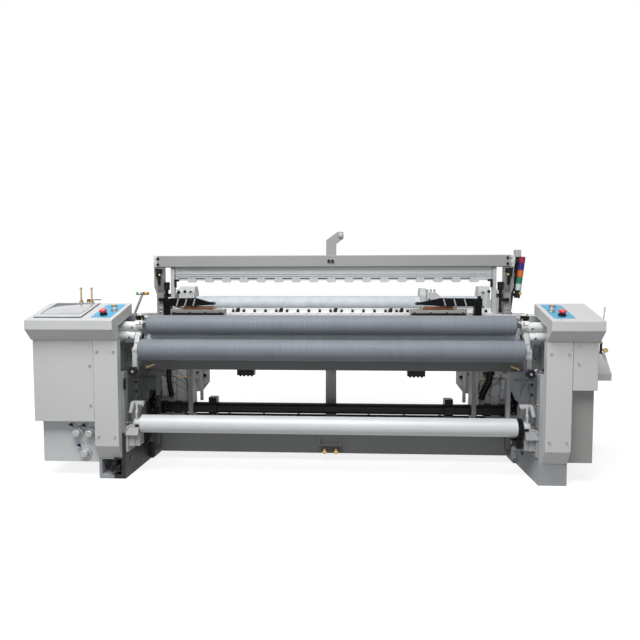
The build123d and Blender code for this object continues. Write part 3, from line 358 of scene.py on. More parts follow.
def leverTouch(f, shade, x, y, z):
    # The right lever is painted darker low down, as painted shade under the leaning arm, and the round grips at the
    # lower ends have black rims.
    rim = (z < 624) * (y < 81)
    shade = f.mix(f.ramp(690 - z, 0, 16) * (x > 0) * 0.7, shade, (0.12, 0.125, 0.12))
    return f.mix(rim, shade, (0.012, 0.012, 0.014)), 0.35 * (1 - rim)


def rollerEndTouch(f, shade, x, y, z):
    # The journals of the cloth roller are dark oiled steel.
    journals = inDisc(y, z, (105, 300), 19)
    return f.mix(journals, shade, (0.10, 0.10, 0.105)), 0.12 + 0.6 * journals


finishes = {}
dressed = []


def lay(name, make, *colours, nodes="", slot=None, **settings):
    # Makes a finish and lays it on the solids that are named. The slot is not used.
    finishes[name] = make(name, *colours, **settings)
    for nodeName in nodes.split():
        dressed.append(nodeName)
        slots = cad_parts[nodeName].data.materials
        slots.clear()
        slots.append(finishes[name])


lay("panelPaint", paintFinish, (0.575, 0.585, 0.58), (0.74, 0.75, 0.75), slot="light_paint",
    nodes="left_column_cover right_column_cover left_control_box right_control_box left_cabinet right_cabinet "
          "side_tray")
lay("lowerPanelPaint", paintFinish, (0.60, 0.62, 0.63), (0.70, 0.72, 0.72), touched=lowerPanelTouch,
    nodes="lower_panels")
lay("castingPaint", paintFinish, (0.60, 0.615, 0.62), (0.75, 0.76, 0.76), grain=500, grainDepth=0.0001,
    roughness=0.4, softEdge=0.003, touched=backrestTouch, nodes="drive_boxes backrest_arms")
lay("framePaint", castFinish, (0.37, 0.385, 0.40), scratch=0.1, touched=frameTouch, specular=0.25,
    slot="frame_paint", nodes="left_side_frame right_side_frame")
lay("seatPaint", paintFinish, (0.31, 0.32, 0.33), (0.50, 0.51, 0.51), grain=500, grainDepth=0.0001,
    softEdge=0.003, touched=seatTouch, nodes="cloth_roller_seats")
lay("railPaint", paintFinish, (0.29, 0.295, 0.29), (0.46, 0.47, 0.46), grain=700, grainDepth=0.00008,
    touched=postTouch, nodes="top_rail rail_posts hoist_arm sley_swords")
lay("breastPaint", paintFinish, (0.145, 0.15, 0.152), (0.30, 0.31, 0.31), grain=700, grainDepth=0.00008,
    specular=0.3, slot="rail_paint", nodes="breast_beam")
lay("beamPaint", paintFinish, (0.145, 0.15, 0.15), (0.24, 0.25, 0.25), grain=600, grainDepth=0.0001,
    touched=beamTouch, specular=0.25, nodes="front_cross_beam rear_cross_beams centre_strut")
lay("blackPaint", paintFinish, (0.008, 0.0085, 0.010), (0.04, 0.04, 0.045), grain=800, roughness=0.34,
    specular=0.18, slot="black_paint",
    nodes="rocking_shaft servo_motors cloth_roller_gear cloth_drive_pinion relay_nozzles")
lay("guideAluminium", turnedFinish, (0.50, 0.52, 0.53), axis="along", roughness=0.42, metallic=0.2, lines=700,
    nodes="heald_guide_rail")
lay("castAluminium", castFinish, (0.74, 0.755, 0.76), roughness=0.38, metallic=0.15,
    nodes="roller_brackets sley_beam")
lay("latchAlloy", castFinish, (0.50, 0.51, 0.51), roughness=0.45, metallic=0.15, slot="cast_aluminium",
    nodes="left_roller_latch right_roller_latch")
lay("leverAluminium", castFinish, (0.43, 0.445, 0.45), roughness=0.42, touched=leverTouch,
    nodes="left_press_lever right_press_lever")
lay("regulatorAlloy", castFinish, (0.46, 0.475, 0.48), roughness=0.42, metallic=0.2, slot="cast_aluminium",
    nodes="air_regulators")
lay("sensorStalk", castFinish, (0.36, 0.37, 0.38), roughness=0.4, softEdge=0.002, touched=lampTouch,
    nodes="sensor_lamp")
lay("clothTube", turnedFinish, (0.64, 0.66, 0.67), axis="along", roughness=0.5, lines=900, softEdge=0.002,
    touched=rollerEndTouch, nodes="cloth_roller")
# Bright aluminium, for the star caps and for the painted highlights on the bosses.
lay("milledFlat", turnedFinish, (0.84, 0.85, 0.85), axis="along", roughness=0.3, metallic=0.25,
    slot="bare_aluminium")
lay("machinedSteel", turnedFinish, (0.42, 0.42, 0.42), axis="along", metallic=0.8, slot="steel",
    nodes="cloth_support_bar")
lay("darkSteel", turnedFinish, (0.27, 0.265, 0.25), axis="along", roughness=0.32, metallic=0.7, slot="steel",
    nodes="temple_bars")
lay("screwSteel", turnedFinish, (0.34, 0.34, 0.35), axis="Y", roughness=0.32, metallic=0.9, slot="steel",
    nodes="cover_screws")
lay("rollerCover", rollerCoverFinish, (0.135, 0.15, 0.175), (0.255, 0.28, 0.31), nodes="guide_roller press_roller")
# The take-up roller sits in shade between the other rollers; its cover is painted much lighter than theirs, as painted
# light.
lay("takeUpCover", rollerCoverFinish, (0.62, 0.66, 0.71), (0.80, 0.84, 0.90), nodes="take_up_roller")
lay("darkBrass", turnedFinish, (0.15, 0.12, 0.07), axis="Z", roughness=0.4, metallic=0.6, slot="brass_fittings")
lay("brass", turnedFinish, (0.42, 0.31, 0.14), axis="Z", metallic=0.85, slot="brass_fittings")
lay("bronzeRings", turnedFinish, (0.38, 0.11, 0.03), roughness=0.45, metallic=0.4, lines=700,
    nodes="left_temple_roller right_temple_roller")
lay("pipeBrass", plasticFinish, (0.44, 0.33, 0.16), roughness=0.3, grain=900, touched=pipeTouch,
    slot="brass_fittings", nodes="air_pipes")
lay("blackPlastic", plasticFinish, (0.008, 0.008, 0.0095), roughness=0.3, specular=0.14, slot="black_plastic",
    nodes="air_valve_lever left_star_knob right_star_knob valve_boxes")
lay("templeCasting", plasticFinish, (0.005, 0.005, 0.006), roughness=0.34, grain=700, softEdge=0.0016,
    touched=templeTouch, specular=0.06, nodes="temple_covers")
lay("stopRed", plasticFinish, (0.72, 0.025, 0.035), roughness=0.28, coat=0.4, touched=stopButtonTouch,
    nodes="left_stop_button right_stop_button")
lay("bluePanel", plasticFinish, (0.06, 0.36, 0.58), roughness=0.4, touched=buttonPanelTouch, nodes="button_panels")
lay("blueCap", plasticFinish, (0.02, 0.12, 0.62), slot="blue_panel")
lay("buttonWhite", plasticFinish, (0.58, 0.64, 0.61), roughness=0.3, nodes="left_jog_button right_jog_button")
lay("buttonAmber", plasticFinish, (0.56, 0.38, 0.10), roughness=0.3, slot="signal_plastic",
    nodes="left_start_button right_start_button")
lay("screenBezel", plasticFinish, (0.54, 0.56, 0.59), roughness=0.4, nodes="touch_screen")
lay("screenGlass", plasticFinish, (0.46, 0.47, 0.49), roughness=0.12, grain=2500, coat=0.6, slot="screen_glass")
lay("wireGrey", plasticFinish, (0.14, 0.13, 0.115), roughness=0.45, slot="screen_glass")
lay("whiteTube", plasticFinish, (0.66, 0.71, 0.76), roughness=0.5, grain=300, softEdge=0.002, specular=0.25,
    nodes="backrest_roller")
lay("signalTower", plasticFinish, (0.012, 0.012, 0.014), roughness=0.4, softEdge=0.0012, touched=towerTouch,
    specular=0.15, nodes="tower_light")
lay("hoseRubber", plasticFinish, (0.012, 0.012, 0.014), roughness=0.5, grain=600, specular=0.15,
    slot="black_plastic")
print("finishes made:", len(finishes))
print("nodes without a finish:", sorted(set(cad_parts) - set(dressed)))


# Ways that a shape can look. Inward and outward go by the side of the machine that it is on.
looks = {
    "up": Matrix.Identity(4),
    "front": Matrix.Rotation(radians(90), 4, "X"), "back": Matrix.Rotation(radians(-90), 4, "X"),
    "right": Matrix.Rotation(radians(90), 4, "Y"), "left": Matrix.Rotation(radians(-90), 4, "Y"),
    "desk": Matrix.Rotation(desk["tilt"], 4, "X"),
    "slat": Matrix(((-1, 0, 0, 0), (0, 0, -1, 0), (0, 1, 0, 0), (0, 0, 0, 1))),
}


def facing(look, x):
    if not isinstance(look, str):
        return look
    if look in ("inward", "outward"):
        look = "right" if (x < 0) == (look == "inward") else "left"
    return looks[look]


def aimed(x, y, z):
    return Vector((x, y, z)).to_track_quat("Z", "Y").to_matrix().to_4x4()


def spot(x, y, z):
    return Vector((x / 1000, (y + columnFront) / 1000, z / 1000))


def onDesk(x, along, height):
    # A place on a sloping desk top, by its distance up the slope and its height off it.
    y = desk["front"] + along * desk["run"] / deskSpan - height * desk["rise"] / deskSpan
    z = desk["edge"] + along * desk["rise"] / deskSpan + height * desk["run"] / deskSpan
    return x, y, z


def spread(x, y, z):
    # Every place that has one of the given measures on each axis.
    xs, ys, zs = [axis if isinstance(axis, tuple) else (axis,) for axis in (x, y, z)]
    return [(px, py, pz) for px in xs for py in ys for pz in zs]


def pair(x, y, z):
    # The same places on the left and on the right of the machine.
    return [(side * px, py, pz) for side in (-1, 1) for px, py, pz in spread(x, y, z)]


def ring(count, radius, start=pi / 4):
    # Steps across and up from the middle of a circle to points spaced evenly on it.
    angles = [start + 2 * pi * i / count for i in range(count)]
    return [(radius * cos(angle), radius * sin(angle)) for angle in angles]


def softened(part, width, sharp=0.5):
    edges = [edge for edge in part.edges if edge.is_manifold and edge.calc_face_angle() > sharp]
    bmesh.ops.bevel(part, geom=edges, offset=width / 1000, segments=2, profile=0.5, affect="EDGES", material=-1)


def thickened(part, thick):
    raised = bmesh.ops.extrude_face_region(part, geom=part.faces[:])
    tops = [v for v in raised["geom"] if isinstance(v, bmesh.types.BMVert)]
    bmesh.ops.translate(part, vec=(0, 0, thick / 1000), verts=tops)


class Piece:
    # One piece in the making. Shapes join it at a place or at a list of places, and look the way they are told.
    made = []

    def __init__(self, name, finish, body="loom_frame"):
        self.name = name
        self.finish = finish
        self.body = body
        self.bm = bmesh.new()
        self.made.append(self)

    def join(self, part, places, look):
        bmesh.ops.remove_doubles(part, verts=part.verts, dist=1e-6)
        bmesh.ops.recalc_face_normals(part, faces=part.faces)
        for place in places if isinstance(places, list) else [places]:
            copy = part.copy()
            turn = Matrix.Translation(spot(*place)) @ facing(look, place[0])
            bmesh.ops.transform(copy, matrix=turn, verts=copy.verts)
            carrier = bpy.data.meshes.new("carrier")
            copy.to_mesh(carrier)
            copy.free()
            self.bm.from_mesh(carrier)
            bpy.data.meshes.remove(carrier)
        part.free()

    def turned(self, profile, places, look="front", steps=28):
        # A profile of radius and height, spun round the way it looks.
        part = bmesh.new()
        points = [part.verts.new((radius / 1000, 0, height / 1000)) for radius, height in profile]
        line = [part.edges.new(ends) for ends in zip(points, points[1:])]
        bmesh.ops.spin(part, geom=points + line, axis=(0, 0, 1), cent=(0, 0, 0), dvec=(0, 0, 0), angle=2 * pi,
                       steps=steps, use_merge=True, use_duplicate=False)
        self.join(part, places, look)

    def slab(self, size, places, soft=1.0, look="up"):
        # A block with rounded edges, its middle at the given place.
        part = bmesh.new()
        bmesh.ops.create_cube(part, size=1)
        bmesh.ops.scale(part, vec=[length / 1000 for length in size], verts=part.verts)
        softened(part, soft)
        self.join(part, places, look)

    def plate(self, outline, thick, places, look, soft):
        # A flat outline in its own X and Y, given a thickness the way it looks.
        part = bmesh.new()
        part.faces.new([part.verts.new((x / 1000, y / 1000, 0)) for x, y in outline])
        thickened(part, thick)
        bmesh.ops.recalc_face_normals(part, faces=part.faces)
        softened(part, soft)
        self.join(part, places, look)

    def platePair(self, outline, thick, place, look, soft):
        # The plate on the right, and its mirror image on the left.
        for side in (-1, 1):
            self.plate([(side * x, y) for x, y in outline], thick, (side * place[0], *place[1:]), look, soft)

    def knurled(self, radius, height, lobes, depth, places, look="front", soft=0.8):
        # A grip with lobes or knurls round its rim.
        part = bmesh.new()
        bmesh.ops.create_circle(part, cap_ends=True, radius=radius / 1000, segments=lobes * 4)
        rim = sorted(part.verts, key=lambda v: (v.co.to_2d().angle_signed(Vector((1, 0))) + 2 * pi) % (2 * pi))
        hollow = [v for i, v in enumerate(rim) if i % 4 < 2]
        bmesh.ops.scale(part, vec=(1 - depth / radius, 1 - depth / radius, 1), verts=hollow)
        thickened(part, height)
        bmesh.ops.recalc_face_normals(part, faces=part.faces)
        softened(part, soft, 0.9)
        self.join(part, places, look)

    def hexBolt(self, across, places, look="front", washer=True):
        part = bmesh.new()
        bmesh.ops.create_circle(part, cap_ends=True, radius=across * 0.577 / 1000, segments=6)
        thickened(part, across * 0.45)
        softened(part, across * 0.06)
        self.join(part, places, look)
        if washer:
            rim = across * 0.85
            self.turned([(0, 0), (rim, 0), (rim, across * 0.07), (rim - 0.5, across * 0.1), (0, across * 0.1)],
                        places, look, 20)

    def socketBolt(self, radius, places, look="front"):
        # A cap screw with its socket sunk in.
        h = radius * 1.1
        self.turned([(radius, 0), (radius, h * 0.9), (radius * 0.9, h), (radius * 0.5, h), (radius * 0.5, h * 0.4),
                     (0, h * 0.35)], places, look, 18)

    def hose(self, stations, radius, steps=9):
        # A round hose along a smooth line through the given places, its two ends sunk in what holds them.
        points = [spot(*station) for station in stations]
        line = []
        for i in range(len(points) - 1):
            before, start, end, after = [points[min(max(k, 0), len(points) - 1)] for k in (i - 1, i, i + 1, i + 2)]
            for share in [k / steps for k in range(steps)]:
                lean = (end - before) * share + (2 * before - 5 * start + 4 * end - after) * share ** 2
                line.append(start + (lean + (3 * start - before - 3 * end + after) * share ** 3) / 2)
        line.append(points[-1])
        corners = ring(10, radius, 0)
        part = bmesh.new()
        rings = []
        for i, place in enumerate(line):
            ahead = line[min(i + 1, len(line) - 1)] - line[max(i - 1, 0)]
            turn = ahead.to_track_quat("Z", "Y")
            rings.append([part.verts.new(place + turn @ Vector((across, up, 0)) / 1000) for across, up in corners])
        for first, following in zip(rings, rings[1:]):
            for k in range(10):
                part.faces.new((first[k], first[k - 9], following[k - 9], following[k]))
        part.faces.new(rings[0])
        part.faces.new(rings[-1])
        self.join(part, (0, -columnFront, 0), "up")

    def hosePair(self, stations, radius, steps=9):
        for side in (-1, 1):
            self.hose([(side * x, y, z) for x, y, z in stations], radius, steps)


def finished(name, bm, finish, body):
    mesh = bpy.data.meshes.new(name)
    bm.to_mesh(mesh)
    bm.free()
    mesh.shade_smooth()
    mesh.set_sharp_from_angle(angle=radians(35))
    mesh.materials.append(finishes[finish])
    piece = bpy.data.objects.new(name, mesh)
    bpy.context.scene.collection.objects.link(piece)
    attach(piece, body)


def deskFrame(piece, middle, size, band, thick, height, soft):
    # Four strips round a rectangle on a desk top.
    x, along = middle
    long, wide = [length + band for length in size]
    for side in (-1, 1):
        piece.slab((long + band, band, thick), onDesk(x, along + side * wide / 2, height), soft, "desk")
        piece.slab((band, wide + band, thick), onDesk(x + side * long / 2, along, height), soft, "desk")


# Touch screen: dark gasket round the bezel, glass in its pocket, a rim round the glass
screen = {"middle": (-1462, 162), "size": (260, 246), "glassMiddle": (-1464, 174), "glass": (221, 185)}
deskFrame(Piece("screenGasket", "blackPlastic"), screen["middle"], screen["size"], 3, 2.4, 1.4, 0.5)
Piece("screenGlass", "screenGlass").slab((*screen["glass"], 1.4), onDesk(*screen["glassMiddle"], 6.2), 0.5, "desk")
deskFrame(Piece("screenRim", "blackPlastic"), screen["glassMiddle"], screen["glass"], 2, 1.2, 7.4, 0.4)

# Buttons: ribbed black sleeves under the mushrooms, bright bezels round the small ones
buttons = {"stop": pair(*onDesk(1225, 84, 2)), "small": pair(*onDesk(1193, 152, 2)) + pair(*onDesk(1221, 220, 2))}
Piece("stopSleeves", "blackPlastic").turned(
    [(17.2, 0), (21, 0), (21, 3), (19, 4), (19.6, 6), (18.4, 7), (19.2, 9), (18, 10), (18.6, 12), (17.4, 12.6)],
    buttons["stop"], "desk", 32)
Piece("buttonBezels", "screwSteel").turned(
    [(15.2, 0), (19, 0), (19, 2), (17.5, 4), (17, 6.6), (15.3, 7.2)], buttons["small"], "desk")

# Air regulators: knurled grips, flange screws, blue plugs on the elbows with black rings
regulators = {"places": ((-1400, 257), (-1329, 254), (-1358, 142)), "front": 50, "elbow": 44}
grips = Piece("regulatorGrips", "regulatorAlloy")
flangeScrews = Piece("regulatorScrews", "screwSteel")
plugRings = Piece("plugRings", "blackPlastic")
plugs = Piece("airPlugs", "blueCap")
for x, z in regulators["places"]:
    front, elbow = regulators["front"], regulators["elbow"]
    grips.knurled(21.5, 22, 14, 0.9, (x, front - 6, z))
    grips.turned([(25, 0), (25, 4), (22.5, 6), (20.2, 6)], (x, front, z))
    flangeScrews.socketBolt(2.4, [(x + across, front, z + up) for across, up in ring(4, 28)])
    plugRings.turned([(6.1, -8), (7.2, -8), (7.2, 6), (6, 7.5), (0, 7.5)], (x - 34, elbow, z + 46), "up", 20)
    plugs.turned([(0, 0), (5, 0), (5.6, 1.5), (5.6, 7), (4.8, 8.6), (0, 9)], (x - 40, elbow, z + 45), "left", 20)

# Brass pipes behind the left desk: nuts and thread collars
pipes = {"x": (-1453, -1390), "y": 236, "nutLow": 960, "collarLow": (988, 1058)}
collars = Piece("pipeCollars", "brass")
collars.turned([(4.6, 0), (7.5, 0), (7.5, 1.5), (6.7, 2.5), (7.5, 3.5), (7.5, 5.5), (6.7, 6.5), (7.5, 7.5), (7.5, 9),
    (4.6, 9.6)], spread(pipes["x"], pipes["y"], pipes["collarLow"]), "up", 20)
collars.hexBolt(19, spread(pipes["x"], pipes["y"], pipes["nutLow"]), "up")

# Column covers and cabinets: washers under the screws, louvres and hinges on the outer sides
Piece("coverWashers", "darkSteel").turned([(0, 0), (7.5, 0), (7.5, 0.8), (6.8, 1.4), (0, 1.4)],
    pair((1168, 1259), 0, (246, 716)), "front", 20)
louvres = {"x": -1621.5, "back": 360, "length": 240, "low": 390, "pitch": 310 / 11, "rows": 12}
louvreLevels = tuple(louvres["low"] + i * louvres["pitch"] for i in range(louvres["rows"]))
Piece("cabinetLouvres", "panelPaint").plate([(0, 0), (5, 0), (1.5, 13), (0, 14)], louvres["length"],
    spread(louvres["x"], louvres["back"], louvreLevels), "slat", 1)
hinges = Piece("doorHinges", "screwSteel")
for barrelX, leafX, y, levels in ((-1620, -1623, 440, (430, 700)), (1412, 1415, 345, (590, 720))):
    hinges.turned([(0, -24), (5, -24), (6, -23), (6, -1), (5, 0), (6, 1), (6, 23), (5, 24), (0, 24)],
        spread(barrelX, y, levels), "up", 18)
    hinges.slab((3, 30, 44), spread(leafX, y - 16, levels), 0.6)

# Upper rail: light end plates and black bolts
rail = {"front": 540, "middle": 1236, "boltLevels": (1218, 1254)}
Piece("railEndPlates", "panelPaint").slab((22, 65, 74), pair(1115.5, 571.5, rail["middle"]), 1.5)
railBolts = Piece("railBolts", "blackPlastic")
railBolts.socketBolt(7.5, spread((-1097, 1083), rail["front"], rail["boltLevels"]))
railBolts.socketBolt(9.5, spread((-14, 8), rail["front"], rail["middle"]))

# Heald guide rail: black stops at its ends, small screws along it, black strips behind its slots as painted shade in
# the grooves
guide = {"back": 568, "end": 984, "pitch": 111.28}
guideSteps = [(i - 8) * guide["pitch"] for i in range(17)]
# Black strips behind the slots: painted shade, so the slots read as shaded grooves.
Piece("guideSlotShade", "blackPaint").slab((64, 2, 4), [(x - guide["pitch"] / 2, guide["back"], 1130)
    for x in guideSteps], 0.4)
guideStops = Piece("guideStops", "blackPlastic")
guideStops.platePair([(-14, 14), (16, 14), (16, -30), (6, -30), (4, 0), (-14, 0)], 16,
    (guide["end"], guide["back"], 1110), "front", 1.2)
guideStops.slab((10, 20, 40), pair(991, 556, 1092), 1.5)
guideStops.socketBolt(5, pair(guide["end"], 552, 1117))
Piece("guideScrews", "screwSteel").socketBolt(3.4, [(x, guide["back"], 1134) for x in guideSteps])

# Posts: black adjusting knobs and stems, latches near the top, cap screws at the feet, dark strips on the fronts as
# painted shade in the channels
posts = {"knob": pair(1044, 542, 1084), "stem": pair(1044, 542, 918), "front": 546}
adjusters = Piece("postAdjusters", "blackPlastic")
adjusters.knurled(19.5, 22, 8, 2.2, posts["knob"], "up", 1.2)
adjusters.turned([(8, -28), (18, -28), (18.6, -26), (18.6, -4), (17, 0), (0, 0)], posts["knob"], "up")
adjusters.turned([(7.1, 0), (10.5, 0), (10.5, 26), (8.5, 30), (8.5, 116), (10.5, 120), (10.5, 138), (7.1, 138)],
    posts["stem"], "up")
adjusters.slab((58, 20, 20), pair(1066, 536, 996), 2)
latches = Piece("postLatches", "blackPlastic")
latches.slab((44, 16, 22), pair(1092, 538, 1180), 2)
latches.slab((24, 20, 36), pair(1098, 537, 1158), 2)
latches.platePair([(-8, 0), (16, -4), (8, -72), (-6, -78)], 12, (1090, posts["front"], 1166), "front", 1.5)
# Dark strips on the posts' fronts: painted shade inside the channels.
Piece("postChannelShade", "breastPaint").slab((36, 3, 150), pair(1087, 545.4, 1118), 1.2)
Piece("latchBrass", "brass").turned([(0, 0), (7, 0), (7, 5), (5, 7), (0, 8)], pair(1084, 527, 1150), "front", 18)
Piece("postScrews", "screwSteel").hexBolt(10, pair(1088, posts["front"], (916, 938)))

# Hoist arm: the rings and bolts of the pulley at its hooked end
hook = {"x": 60, "z": 1402}
pulley = Piece("hoistPulley", "screwSteel")
pulley.turned([(6, -4), (15, -4), (17, -2), (15, 0), (17, 2), (15, 4), (6, 4)],
    spread(hook["x"], (594, 642), hook["z"]))
pulley.hexBolt(13, (hook["x"], 588, hook["z"]))
pulley.hexBolt(13, (hook["x"], 650, hook["z"]), "back")

# Roller brackets: dark bores with bright rims at the inner ends, set screws
bracket = {"inner": 1046, "lever": 1058, "pin": 1052, "ring": 1025, "guide": (130, 858), "pivot": (130, 795)}
boreRims = Piece("boreRims", "machinedSteel")
boreRims.turned([(17, 0), (24, 0), (24.6, -1), (24.6, 2), (23, 3.2), (18.4, 3.2), (17, 1.5)],
    pair(bracket["inner"], *bracket["guide"]), "inward")
boreRims.turned([(14.3, 0), (22, 0), (22, 4.4), (20.6, 6), (16.4, 6), (15, 4.6)],
    pair(bracket["lever"], *bracket["pivot"]), "inward")
bores = Piece("bracketBores", "blackPlastic")
bores.turned([(12.3, 0), (17, 0), (17, 0.8), (12.3, 0.8)], pair(bracket["inner"], *bracket["guide"]), "inward")
bores.turned([(0, 0), (15.2, 0), (15.2, 2.4), (11, 2.4), (8, 1.2), (0, 1.2)],
    pair(bracket["pin"], *bracket["pivot"]), "inward")
bores.turned([(12.3, -5), (14, -5), (15.5, -3), (15.5, 3), (14, 5), (12.3, 5)],
    pair(bracket["ring"], *bracket["guide"]), "inward")
Piece("setScrews", "blackPlastic").socketBolt(4.8, pair(1102, 105, 842) + pair(1119, 104.5, 788))

# Star knobs: bright caps with five studs, lobed black rims; they turn with the knobs
star = {"x": 1076, "y": 160, "high": 910, "studs": ring(5, 16, 0)}
for side, sideName in ((-1, "left"), (1, "right")):
    caps = Piece(sideName + "StarCap", "milledFlat", sideName + "_knob")
    caps.turned([(0, 0), (9, 0), (9, 3), (6, 6.5), (0, 8)], (side * star["x"], star["y"], star["high"]), "up")
    caps.turned([(0, 0), (3.2, 0), (2.6, 1.4), (0, 1.8)],
        [(side * (star["x"] + across), star["y"] + up, star["high"]) for across, up in star["studs"]], "up", 16)
    Piece(sideName + "StarRim", "blackPlastic", sideName + "_knob").knurled(
        24.5, 11, 5, 3.2, (side * star["x"], star["y"], star["high"] - 13), "up", 2.5)

# Brass oilers on the roller brackets
oilers = Piece("rollerOilers", "brass")
oilers.turned([(0, 0), (5, 0), (5, 5), (3, 6), (3, 9), (4.2, 11), (3, 13), (0, 13.5)], pair(1054, 130, 882), "up", 16)
oilers.turned([(0, 0), (4.5, 0), (4.5, 6), (3, 8), (0, 8.5)], pair(1056, 107, 872), "front", 16)

# Press levers: lobed black rims and silver centres of the grips, bolts through the eyes
lever = {"x": 1080, "outer": 1093, "rimBack": 63, "capBack": 39, "gripZ": 603}
Piece("leverGripRims", "blackPlastic", "press_levers").knurled(
    25, 24, 8, 2.6, pair(lever["x"], lever["rimBack"], lever["gripZ"]), "front", 1.4)
Piece("leverGripCaps", "screwSteel", "press_levers").turned(
    [(7, 0), (7, 2), (6, 3.4), (3, 4.4), (0, 4.8)], pair(lever["x"], lever["capBack"], lever["gripZ"]), "front", 24)
eyeBolts = Piece("leverBolts", "screwSteel", "press_levers")
eyeBolts.hexBolt(17, pair(lever["outer"], 95, 716), "outward")
eyeBolts.hexBolt(10, pair(1071, 86, 760), "front", False)

# The bright ring handle that locks the levers at the right frame, with its arm
lock = {"middle": (1129, 96, 608), "arm": (1156, 100, 608), "post": (1170, 100, 606), "dot": (1129, 87, 608)}
lockRing = Piece("lockRing", "screwSteel")
lockRing.turned([(6, -7), (15, -7), (17, -5), (17, 5), (15, 7), (6, 7), (6, -7)], lock["middle"])
lockRing.turned([(0, -14), (7, -14), (8, -12), (8, 12), (7, 14), (0, 14)], lock["arm"], "right")
lockCentre = Piece("lockCentre", "blackPlastic")
lockCentre.turned([(0, -8), (6, -8), (6, 8), (4, 9), (0, 9)], lock["middle"], "front", 20)
lockCentre.turned([(0, -24), (9, -24), (11, -21), (11, 17), (9, 20), (0, 20)], lock["post"], "up", 24)
Piece("lockDot", "screwSteel").turned([(0, 0), (3, 0), (3, 1), (0, 1.6)], lock["dot"], "front", 14)

# Inner walls of the frames: brass bolts of the covers, shields of the rocking shaft's bearings, bushes on the ribs
wallBolts = Piece("wallBolts", "brass")
wallBolts.hexBolt(12, pair(1130, 84, 308) + [(1130, 84, 432), (1118, 92, 164)], "inward")
wallBolts.hexBolt(12, (-1118, 74, 216))
shield = {
    "outline": [(1079, 441), (1092, 441), (1110, 395), (1129, 383), (1129, 370), (1123, 362), (1125, 300), (1079, 300)],
    "back": 436, "front": 422, "bolts": ((1088, 393, 8), (1106, 312, 9), (1096, 360, 6), (1086, 326, 6))}
Piece("bearingShields", "blackPlastic").platePair(shield["outline"], shield["back"] - shield["front"],
    (0, shield["back"], 0), "front", 1.5)
shieldBolts = Piece("shieldBolts", "darkBrass")
for x, z, across in shield["bolts"]:
    shieldBolts.hexBolt(across, pair(x, shield["front"], z))
shieldBolts.hexBolt(11, pair(1212, 434, (484, 424)))
ribFittings = Piece("ribFittings", "framePaint")
ribFittings.turned([(10, 6), (10, 24), (12, 26), (15, 26), (17, 24), (17, 0), (10, 0)], pair(1053, 415, 548), "inward")
ribFittings.slab((54, 22, 34), pair(1104, 417, 549), 2.5)
ribFittings.slab((36, 10, 88), pair(1112, 425, 62), 2)
ribFittings.hexBolt(14, pair(1112, 420, (40, 88)))

# Brass breathers with black mouths in front of the breast beam
breathers = Piece("breathers", "pipeBrass")
breatherMouths = Piece("breatherMouths", "blackPlastic")
for side in (-1, 1):
    mouth = (side * 1095, 300, 596)
    aim = aimed(-side * 39, 30, 13)
    breathers.turned([(0, 0), (6, 0), (6, 50), (0, 50)], mouth, aim, 18)
    breathers.turned([(7.4, -4), (9.6, -4), (10.6, -2), (10.6, 3), (9, 5), (6, 5), (6, 0), (7.4, 0)], mouth, aim, 24)
    breatherMouths.turned([(0, -2.4), (7.3, -2.4), (7.3, -0.4), (0, -0.4)], mouth, aim, 24)

# Take-up roller's bearing flanges on the outer walls of the recesses, and the looped hangers behind them
takeUp = {"wall": 1195, "y": 207.3, "z": 768.9, "hangerX": 1170, "hangerY": 262}
flanges = Piece("takeUpFlanges", "framePaint")
flanges.turned([(20.6, 0), (40, 0), (42, 2), (42, 8), (40, 10), (26, 10), (24, 16), (20.6, 16)],
    pair(takeUp["wall"], takeUp["y"], takeUp["z"]), "inward", 36)
for across, up in ring(4, 34):
    flanges.socketBolt(3.6, pair(takeUp["wall"] - 10, takeUp["y"] + across, takeUp["z"] + up), "inward")
hangers = Piece("takeUpHangers", "framePaint")
hangers.turned([(9, 0), (9, 12), (11, 14), (18, 14), (21, 11), (21, 0)],
    pair(takeUp["hangerX"], takeUp["hangerY"], 662), "front", 32)
for aside, lean in ((-18, 3), (18, -3)):
    hangers.plate([(-4, 0), (4, 0), (4 + lean, 92), (lean - 4, 92)], 13,
        pair(takeUp["hangerX"] + aside, takeUp["hangerY"], 664), "front", 1.8)
hangers.slab((48, 12, 12), pair(takeUp["hangerX"], takeUp["hangerY"] - 6, 752), 2)

# Journal caps on the latches of the cloth roller with greasers on them, ends of the latch pins, sockets in the seats
journal = {"y": 105, "z": 300.6, "inner": 18.8, "outer": 30, "from": 57, "to": 180, "left": (-1095.8, 1061.2)}
arc = []
rims = ((journal["outer"], journal["from"], journal["to"]), (journal["inner"], journal["to"], journal["from"]))
for radius, start, end in rims:
    for angle in [radians(start + (end - start) * k / 12) for k in range(13)]:
        arc.append((-radius * sin(angle), radius * cos(angle)))
for side, latch, left in zip((-1, 1), ("left_latch", "right_latch"), journal["left"]):
    cap = Piece(latch + "Cap", "latchAlloy", latch)
    cap.plate(arc, 34.6, (left, journal["y"], journal["z"]), "right", 1.2)
    cap.turned([(0, 0), (5.5, 0), (5.5, 5), (3.4, 7), (3.4, 10), (4.4, 12), (3, 14), (0, 14.5)],
        (side * 1078, journal["y"] - 4, 328), "up", 18)
pinEnds = Piece("pinEnds", "blackPlastic")
pinEnds.turned([(0, 0), (6.5, 0), (6.5, 0.8), (0, 0.8)], pair(1062, 165, 392), "inward", 20)
pinEnds.turned([(0, 0), (7, 0), (7, 0.6), (0, 0.6)], pair(1092, 82, 283), "up", 20)
pinEnds.plate([(12 * cos(pi * k / 8), 24 * sin(pi * k / 8)) for k in range(16)], 0.8,
    [(-1130, 127, 96), (1130, 330, 96)], "inward", 0.2)

